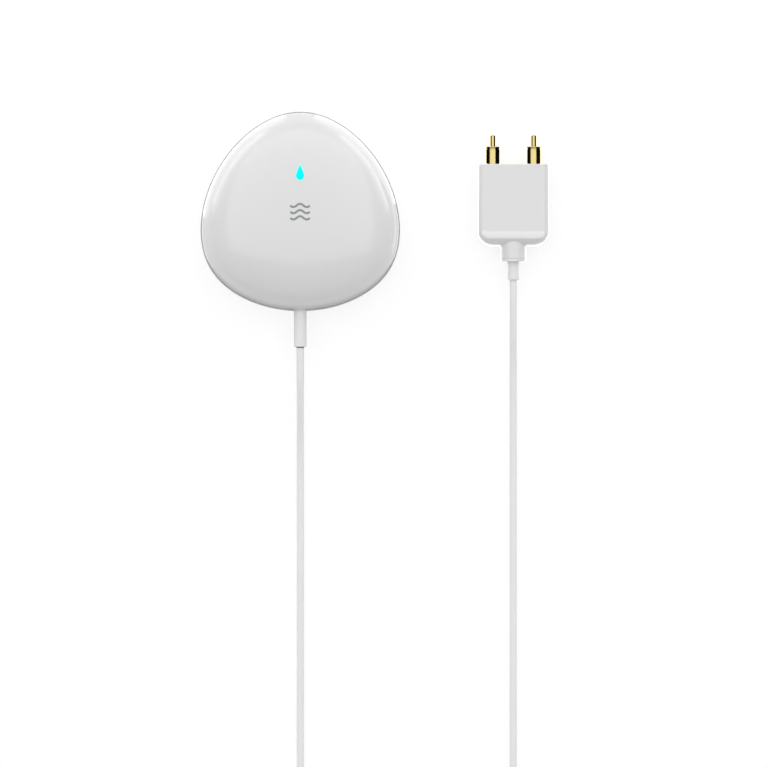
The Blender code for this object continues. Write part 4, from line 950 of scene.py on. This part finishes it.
def rim_size(inset):
    return (PROBE_HALF_WIDTH - inset, PROBE_HALF_DEPTH - inset, PROBE_EDGE - inset / 2)


def probe_form(name, inset, bottom_y, mouth):
    """The probe's block, drawn in by inset, from its mouth rings down to a rounded lower end."""
    side = PROBE_SIDE_ROUND - inset
    face = PROBE_FACE_ROUND - inset
    rings = [probe_ring(*ring) for ring in mouth]
    reach = max(side, face)
    for step in range(PROBE_END_STEPS + 1):
        height = reach * (1 - math.sin(math.pi / 2 * step / PROBE_END_STEPS))
        half_width = PROBE_HALF_WIDTH - inset - round_inset(height, side)
        half_depth = PROBE_HALF_DEPTH - inset - round_inset(height, face)
        rings.append(probe_ring(half_width, half_depth, PROBE_EDGE - inset / 2, bottom_y + height))
    return loft(name, rings)


def along_probe(obj, x=PROBE_X, y=0.0, outwards=True):
    """Turns a body about local Z to lie along the probe, towards the pins or towards the cord."""
    turn = -math.pi / 2 if outwards else math.pi / 2
    return moved(obj, (x, y, PROBE_Z), (turn, 0.0, 0.0))


def make_probe_shell(material):
    edge = PROBE_TOP_EDGE
    outer_mouth = [
        (PROBE_HALF_WIDTH - inset, PROBE_HALF_DEPTH - inset, PROBE_EDGE, PROBE_TOP_Y - back)
        for inset, back in arc((edge, edge), edge, 270, 180, 3)
    ]
    shell = probe_form("probe_case", 0.0, PROBE_BOTTOM_Y, outer_mouth)
    mouth = rim_size(PROBE_MOUTH_WALL)
    mouth_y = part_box("probe_cap")[0].y - GAP
    inner_mouth = ((*mouth, PROBE_TOP_Y + PAST), (*mouth, mouth_y), (*rim_size(PROBE_WALL), mouth_y))
    hollow = probe_form("hollow", PROBE_WALL, PROBE_BOTTOM_Y + PROBE_WALL, inner_mouth)
    boolean(shell, [hollow])
    moved(shell, (PROBE_X, 0.0, PROBE_Z))
    length = COLLAR_INNER_Y - COLLAR_END_Y
    groove = 0.0009
    dip = 0.00018
    lip = 0.0003
    profile = [(COLLAR_RADIUS, 0.0), (COLLAR_RADIUS, length - groove - 2 * dip)]
    profile += [(COLLAR_RADIUS - dip, length - groove - dip), (COLLAR_RADIUS, length - groove)]
    profile += arc((COLLAR_RADIUS - lip, length - lip), lip, 0, 90, 4)
    collar = along_probe(turned("collar", profile), y=COLLAR_INNER_Y, outwards=False)
    boolean(shell, [collar], "UNION")
    bore = rod("bore", PROBE_BOOT_RADIUS + GAP, 0.0, length + 2 * PAST)
    boolean(shell, [along_probe(bore, y=COLLAR_END_Y - PAST)])
    return dress(shell, material, ["probe_shell"])


def make_probe_cap(material):
    low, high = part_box("probe_cap")
    size = rim_size(PROBE_MOUTH_WALL + CAP_GAP)
    ease = 0.0002
    rings = [(size[0] - ease, size[1] - ease, size[2], high.y), (*size, high.y - ease), (*size, low.y)]
    cap = moved(loft("probe_end", [probe_ring(*ring) for ring in rings]), (PROBE_X, 0.0, PROBE_Z))
    for x in PIN_X:
        hole = rod("hole", BARREL_RADIUS + THIN_GAP, 0.0, high.y - low.y + 2 * PAST)
        boolean(cap, [along_probe(hole, x, low.y - PAST)])
    return dress(cap, material, ["probe_cap"])


def make_pins(material):
    """Barrels with a rolled lip, and plungers with a rounded tip."""
    tail_radius = 0.0008
    tail = 0.0020
    wall_end = tail + 0.0010
    flange_radius = 0.00295
    flange_thickness = 0.0010
    spring_room = 0.0019
    neck = 0.0008
    lip = 0.00045
    waist_radius = BARREL_RADIUS - 0.00010
    lip_radius = BARREL_RADIUS + 0.00012
    bore = PLUNGER_RADIUS + THIN_GAP
    ease = 0.0002
    foot_radius = 0.0018
    foot = 0.0025
    nose = 0.00055
    for number, x in enumerate(PIN_X, 1):
        node = f"pin_barrel_{number}"
        low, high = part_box(node)
        mouth = high.y - low.y
        flange_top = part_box("probe_cap")[0].y - GAP - low.y
        flange_low = flange_top - flange_thickness
        profile = [(0.0, 0.0), (tail_radius, 0.0), (tail_radius, tail), (BARREL_RADIUS, tail)]
        profile += [(BARREL_RADIUS, flange_low), (flange_radius, flange_low), (flange_radius, flange_top)]
        profile += [(BARREL_RADIUS, flange_top), (BARREL_RADIUS, mouth - 2.2 * lip)]
        profile += [(waist_radius, mouth - 2 * lip), (waist_radius, mouth - 1.8 * lip)]
        profile += arc((lip_radius - lip / 2, mouth - lip / 2), lip / 2, -60, 90, 6)
        profile += [(bore + ease, mouth), (bore, mouth - ease)]
        profile += [(bore, mouth - neck), (spring_room, mouth - neck), (spring_room, wall_end)]
        profile.append((0.0, wall_end))
        barrel = along_probe(turned(f"pin_sleeve_{number}", profile), x, low.y)
        dress(barrel, material, [node])

        node = f"pin_plunger_{number}"
        low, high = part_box(node)
        tip = high.y - low.y
        profile = [(0.0, 0.0), (foot_radius, 0.0), (foot_radius, foot), (PLUNGER_RADIUS, foot)]
        profile += arc((PLUNGER_RADIUS - nose, tip - nose), nose, 0, 90, 8)
        profile.append((0.0, tip))
        plunger = along_probe(turned(f"pin_tip_{number}", profile), x, low.y)
        dress(plunger, material, [node], body=f"plunger_{number}")


def make_wave_print(material):
    """Three short wavy lines, printed on the cover's face: a plain sign for water."""
    half_length = 0.0034
    half_stroke = 0.00036
    least_stroke = 0.00004
    swing = 0.00055
    spacing = 0.0021
    centre_y = 0.0013
    steps = 60
    thickness = 0.00003
    turning = math.pi * 1.5 / half_length
    shape = bmesh.new()
    for line in (-1, 0, 1):
        rings = []
        for step in range(steps + 1):
            along = half_length * (2 * step / steps - 1)
            wave = math.cos(along * turning) * swing
            slope = -math.sin(along * turning) * swing * turning
            normal = Vector((-slope, 1.0)).normalized()
            taper = min(1.0, (half_length - abs(along)) / half_stroke)
            width = max(half_stroke * math.sqrt(taper * (2 - taper)), least_stroke)
            ring = []
            for side, up in CORNERS:
                x = along + side * width * normal.x
                y = centre_y + line * spacing + wave + side * width * normal.y
                ring.append((x, y, dome_height(x, y) + up * thickness))
            rings.append(ring)
        add_rings(shape, rings)
    return dress(new_object("wave_print", shape), material)


def set_inputs(shader, values):
    for socket, value in values.items():
        shader.inputs[socket].default_value = value


def add_node(tree, kind, values=None, links=None):
    """A shader node with values in some inputs and other nodes' outputs linked to others."""
    made = tree.nodes.new("ShaderNode" + kind)
    set_inputs(made, values or {})
    for socket, source in (links or {}).items():
        tree.links.new(source, made.inputs[socket])
    return made


def combined(tree, operation, first, second):
    """The result of a math operation on two outputs."""
    result = add_node(tree, "Math", links={0: first, 1: second})
    result.operation = operation
    return result.outputs["Value"]


def mixed(tree, share, first, second):
    """The first shader where share is 0, and the second where it is 1."""
    return add_node(tree, "MixShader", links={0: share, 1: first, 2: second}).outputs["Shader"]


def graded(tree, source, span, result, kind="SMOOTHSTEP"):
    """A step from one value to another, soft unless its kind is LINEAR."""
    values = dict(zip(("From Min", "From Max", "To Min", "To Max"), (*span, *result)))
    step = add_node(tree, "MapRange", values, {"Value": source})
    step.interpolation_type = kind
    return step.outputs["Result"]


def new_material(name):
    made = bpy.data.materials.new(name)
    made.use_nodes = True
    return made, made.node_tree


def noise_node(tree, place, scale, detail=3.0, stretch=None):
    source = place.outputs["Object"]
    if stretch:
        source = add_node(tree, "Mapping", {"Scale": stretch}, {"Vector": source}).outputs["Vector"]
    return add_node(tree, "TexNoise", {"Scale": scale, "Detail": detail}, {"Vector": source})


def surface(name, colour, roughness, metallic=0.0, tone=0.04, patch=180.0, grain=1200.0,
            relief=0.000004, stretch=None, spread=0.04, glow=None, specular=0.5):
    """A material whose colour varies in soft patches, and its roughness and relief with a fine grain."""
    made, tree = new_material(name)
    shader = tree.nodes["Principled BSDF"]
    set_inputs(shader, {"Metallic": metallic, "Specular IOR Level": specular})
    place = add_node(tree, "TexCoord")
    mix = add_node(tree, "Mix", links={0: noise_node(tree, place, patch).outputs["Fac"]})
    mix.data_type = "RGBA"
    for socket, share in ((6, 1 - tone), (7, 1 + tone)):
        mix.inputs[socket].default_value = (*[min(1.0, c * share) for c in colour], 1.0)
    tree.links.new(mix.outputs[2], shader.inputs["Base Color"])
    fine = noise_node(tree, place, grain, GRAIN_DETAIL, stretch).outputs["Fac"]
    span = (roughness - spread / 2, roughness + spread / 2)
    tree.links.new(graded(tree, fine, GRAIN_SPAN, span, "LINEAR"), shader.inputs["Roughness"])
    bump = add_node(tree, "Bump", {"Strength": 1.0, "Distance": relief}, {"Height": fine})
    tree.links.new(bump.outputs["Normal"], shader.inputs["Normal"])
    if glow:
        set_inputs(shader, {"Emission Color": (*glow[0], 1.0), "Emission Strength": glow[1]})
    return made


def panel(name, size, location, target, radiance):
    """A soft lamp with a plain face that looks at the target."""
    data = bpy.data.lights.new(name, "AREA")
    data.shape = "RECTANGLE"
    data.size, data.size_y = size
    data.energy = radiance * math.pi * size[0] * size[1]
    lamp = bpy.data.objects.new(name, data)
    lamp.location = location
    direction = Vector(target) - Vector(location)
    lamp.rotation_mode = "QUATERNION"
    lamp.rotation_quaternion = direction.to_track_quat("-Z", "Y")
    lamp.visible_camera = False
    bpy.context.scene.collection.objects.link(lamp)
    return lamp


def around(azimuth, elevation, distance):
    """A point seen from the object's middle; azimuth 0 is +X and 90 is +Y."""
    a, e = math.radians(azimuth), math.radians(elevation)
    flat = distance * math.cos(e)
    return (
        VIEW_CENTRE[0] + flat * math.cos(a),
        VIEW_CENTRE[1] + flat * math.sin(a),
        distance * math.sin(e),
    )


def make_lights():
    target = (*VIEW_CENTRE, 0.0)
    panel("key", KEY_SIZE, around(*KEY_PLACE), target, KEY_LIGHT)
    panel("fill_below", FILL_SIZE, (*VIEW_CENTRE, -FILL_DEPTH), target, FILL_LIGHT)
    for azimuth in (STRIP_AZIMUTH, 180 - STRIP_AZIMUTH):
        for number, height in enumerate(STRIP_HEIGHTS):
            elevation = math.degrees(math.atan(height / 2 / STRIP_DISTANCE))
            place = around(azimuth, elevation, STRIP_DISTANCE)
            strip = panel(f"strip_{azimuth}_{number}", (STRIP_WIDTH, height), place, target, STRIP_LIGHT)
            strip.visible_diffuse = False


def make_world():
    """A dim room with a bright horizon and two soft windows, behind the head to the left and right."""
    world = bpy.data.worlds.new("room")
    bpy.context.scene.world = world
    world.use_nodes = True
    tree = world.node_tree
    place = add_node(tree, "TexCoord").outputs["Generated"]
    height = add_node(tree, "SeparateXYZ", links={"Vector": place}).outputs["Z"]
    light = graded(tree, height, HORIZON_SPAN, HORIZON_LIGHT)
    looked_at = Vector((*VIEW_CENTRE, 0.0))
    for azimuth in (WINDOW_AZIMUTH, 180 - WINDOW_AZIMUTH):
        towards = (Vector(around(azimuth, WINDOW_ELEVATION, 1.0)) - looked_at).normalized()
        nearness = add_node(tree, "VectorMath", {1: towards}, {0: place})
        nearness.operation = "DOT_PRODUCT"
        window = graded(tree, nearness.outputs["Value"], WINDOW_SPREAD, (0.0, WINDOW_LIGHT))
        light = combined(tree, "ADD", light, window)
    tree.links.new(light, tree.nodes["Background"].inputs["Color"])


def make_card(name, rows, material):
    """A studio card through rows of points, seen only in reflections and only from its front."""
    shape = bmesh.new()
    rows = [[shape.verts.new(point) for point in row] for row in rows]
    for row, beyond in zip(rows, rows[1:]):
        for i in range(len(row) - 1):
            shape.faces.new((row[i], beyond[i], beyond[i + 1], row[i + 1]))
    card = linked(name, shape)
    card.data.materials.append(material)
    card.visible_camera = False
    card.visible_diffuse = False
    card.visible_shadow = False
    card.visible_transmission = False


def show(tree, front, away):
    """Ends a material with its front shader, and lets light pass where away is 1."""
    clear = add_node(tree, "BsdfTransparent").outputs["BSDF"]
    tree.links.new(mixed(tree, away, front, clear), tree.nodes["Material Output"].inputs["Surface"])


def card_material(name, glow):
    """A one-sided card that glows by so much; black at 0."""
    made, tree = new_material(name)
    tree.nodes.remove(tree.nodes["Principled BSDF"])
    front = add_node(tree, "Emission", {"Strength": glow}).outputs["Emission"]
    show(tree, front, add_node(tree, "NewGeometry").outputs["Backfacing"])
    return made


def crescent(start, end, reach):
    """Rows of a crescent on the floor, along the head's outline between two azimuths."""
    outline = lobed_ring(HEAD_RADIUS, CARD_FLOOR_Z, 360)
    inner = []
    outer = []
    for degree in range(start, end + 1):
        point = outline[degree % len(outline)]
        width = reach * math.sin(math.pi * (degree - start) / (end - start))
        inner.append(point)
        outer.append(point + Vector((point.x, point.y, 0.0)).normalized() * width)
    return inner, outer


def make_cards():
    """Black cards give the pins dark stripes; cards on the floor shape the rims' reflections."""
    black = card_material("card_black", 0.0)
    bright = card_material("card_white", CARD_GLOW)
    low_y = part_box("probe_cap")[1].y + GAP
    high_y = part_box("pin_plunger_1")[1].y + 2 * BARREL_RADIUS
    for number, x in enumerate(PIN_X, 1):
        for side, elevation in CARD_ELEVATIONS:
            card_x = x + side * CARD_DISTANCE
            low_z = PROBE_Z - CARD_DISTANCE * math.tan(CARD_DIP)
            high_z = PROBE_Z + CARD_DISTANCE * math.tan(elevation)
            ends = (low_y, high_y) if side > 0 else (high_y, low_y)
            rows = [[(card_x, y, high_z), (card_x, y, low_z)] for y in ends]
            make_card(f"card_{number}_{'right' if side > 0 else 'left'}", rows, black)
    make_card("card_below", crescent(*DARK_CRESCENT), black)
    for number, sector in enumerate(BRIGHT_CRESCENTS, 1):
        make_card(f"card_rim_{number}", crescent(*sector), bright)
    reach_x = PROBE_HALF_WIDTH + PROBE_CARD_MARGIN
    low_y = PROBE_BOTTOM_Y - PROBE_CARD_MARGIN
    rows = [[(PROBE_X + side * reach_x, y, 2 * CARD_FLOOR_Z) for side in (-1, 1)] for y in (high_y, low_y)]
    make_card("card_probe", rows, bright)


def make_probe_strip(pieces):
    """A soft strip that only the probe's gloss catches, along its rounded lower end."""
    target = (PROBE_X, PROBE_BOTTOM_Y, PROBE_Z)
    strip = panel("probe_strip", PROBE_STRIP_SIZE, around(*PROBE_STRIP_PLACE), target, PROBE_STRIP_LIGHT)
    strip.visible_diffuse = False
    lit = bpy.data.collections.new("probe_pieces")
    for piece in pieces:
        lit.objects.link(piece)
    strip.light_linking.receiver_collection = lit


def make_floor():
    """A white table top; it is seen only from above, so that the back can be looked at too."""
    shape = bmesh.new()
    shape.faces.new([shape.verts.new((sx * FLOOR_HALF, sy * FLOOR_HALF, FLOOR_Z)) for sx, sy in CORNERS])
    floor = linked("floor", shape)
    made, tree = new_material("floor_white")
    shader = tree.nodes["Principled BSDF"]
    colour = (FLOOR_WHITE, FLOOR_WHITE, FLOOR_WHITE, 1.0)
    set_inputs(shader, {"Base Color": colour, "Roughness": 1.0, "Specular IOR Level": 0.0})
    ray = add_node(tree, "LightPath").outputs
    seen = combined(tree, "MAXIMUM", ray["Is Camera Ray"], ray["Is Glossy Ray"])
    seen = combined(tree, "MAXIMUM", seen, ray["Is Transmission Ray"])
    share = add_node(tree, "Math", {1: FLOOR_WHITE_SHARE}, {0: seen})
    share.operation = "MULTIPLY"
    white = add_node(tree, "Emission").outputs["Emission"]
    lit = mixed(tree, share.outputs["Value"], shader.outputs["BSDF"], white)
    behind = add_node(tree, "NewGeometry").outputs["Backfacing"]
    show(tree, lit, combined(tree, "MAXIMUM", behind, ray["Is Shadow Ray"]))
    floor.data.materials.append(made)


def main():
    bpy.context.scene.view_settings.view_transform = "Standard"
    make_camera()
    make_world()
    make_lights()
    make_floor()
    make_cards()
    gloss = surface("gloss_white", (0.64, 0.64, 0.64), 0.16, tone=0.01, grain=500.0, relief=0.000002)
    satin = surface("satin_white", (0.74, 0.74, 0.74), 0.42, tone=0.02, grain=4000.0, relief=0.000012)
    cyan = surface("lens_glow", (0.0, 0.30, 0.36), 0.15, glow=((0.0, 1.0, 1.0), 0.9), specular=0.05)
    gold = surface(
        "gold_plating", (0.53, 0.43, 0.185), 0.12, metallic=1.0, tone=0.05, relief=0.000003,
        stretch=(0.2, 8.0, 0.2),
    )
    steel = surface("steel", (0.60, 0.60, 0.60), 0.30, metallic=1.0, stretch=(1.0, 1.0, 6.0))
    nickel = surface("nickel", (0.70, 0.69, 0.66), 0.25, metallic=1.0)
    sleeve = surface("cell_sleeve", (0.30, 0.33, 0.36), 0.35)
    board = surface("solder_mask", (0.02, 0.17, 0.07), 0.40, tone=0.25, patch=900.0)
    black = surface("black_moulding", (0.02, 0.02, 0.02), 0.45)
    white = surface("white_moulding", (0.75, 0.74, 0.70), 0.40)
    grey = surface("grey_moulding", (0.45, 0.46, 0.47), 0.45, grain=3000.0, relief=0.000010)
    vinyl = surface("cord_vinyl", (0.70, 0.70, 0.70), 0.38, tone=0.02, grain=700.0, relief=0.000008)
    red = surface("red_insulation", (0.55, 0.02, 0.02), 0.45)
    dark = surface("black_insulation", (0.02, 0.02, 0.02), 0.45)
    band = surface("tie_band", (0.55, 0.55, 0.55), 0.60, grain=5000.0, relief=0.00002)
    ink = surface("grey_print", (0.22, 0.235, 0.235), 0.35)

    kept = {
        steel: ("radio_module", "storage_capacitor"),
        nickel: ("contact_negative", "contact_positive", "contact_bridge"),
        sleeve: ("battery_1", "battery_2"),
        board: ("main_board",),
        black: ("power_inductor", "pair_switch"),
        white: ("status_led", "lead_connector"),
        red: ("lead_red", "probe_lead_1"),
        dark: ("lead_black", "probe_lead_2"),
    }
    for material, nodes in kept.items():
        for node in nodes:
            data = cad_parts[node].data
            data.materials.clear()
            data.materials.append(material)

    make_cord(vinyl, make_tie(band))
    make_front_cover(gloss)
    make_back_shell(satin)
    make_battery_door(satin)
    make_droplet_lens(cyan)
    make_wave_print(ink)
    make_boots(vinyl, dark)
    make_screws(steel)
    make_button_cap(grey)
    make_springs(nickel, steel)
    make_probe_strip([make_probe_shell(gloss), make_probe_cap(gloss)])
    make_pins(gold)


main()
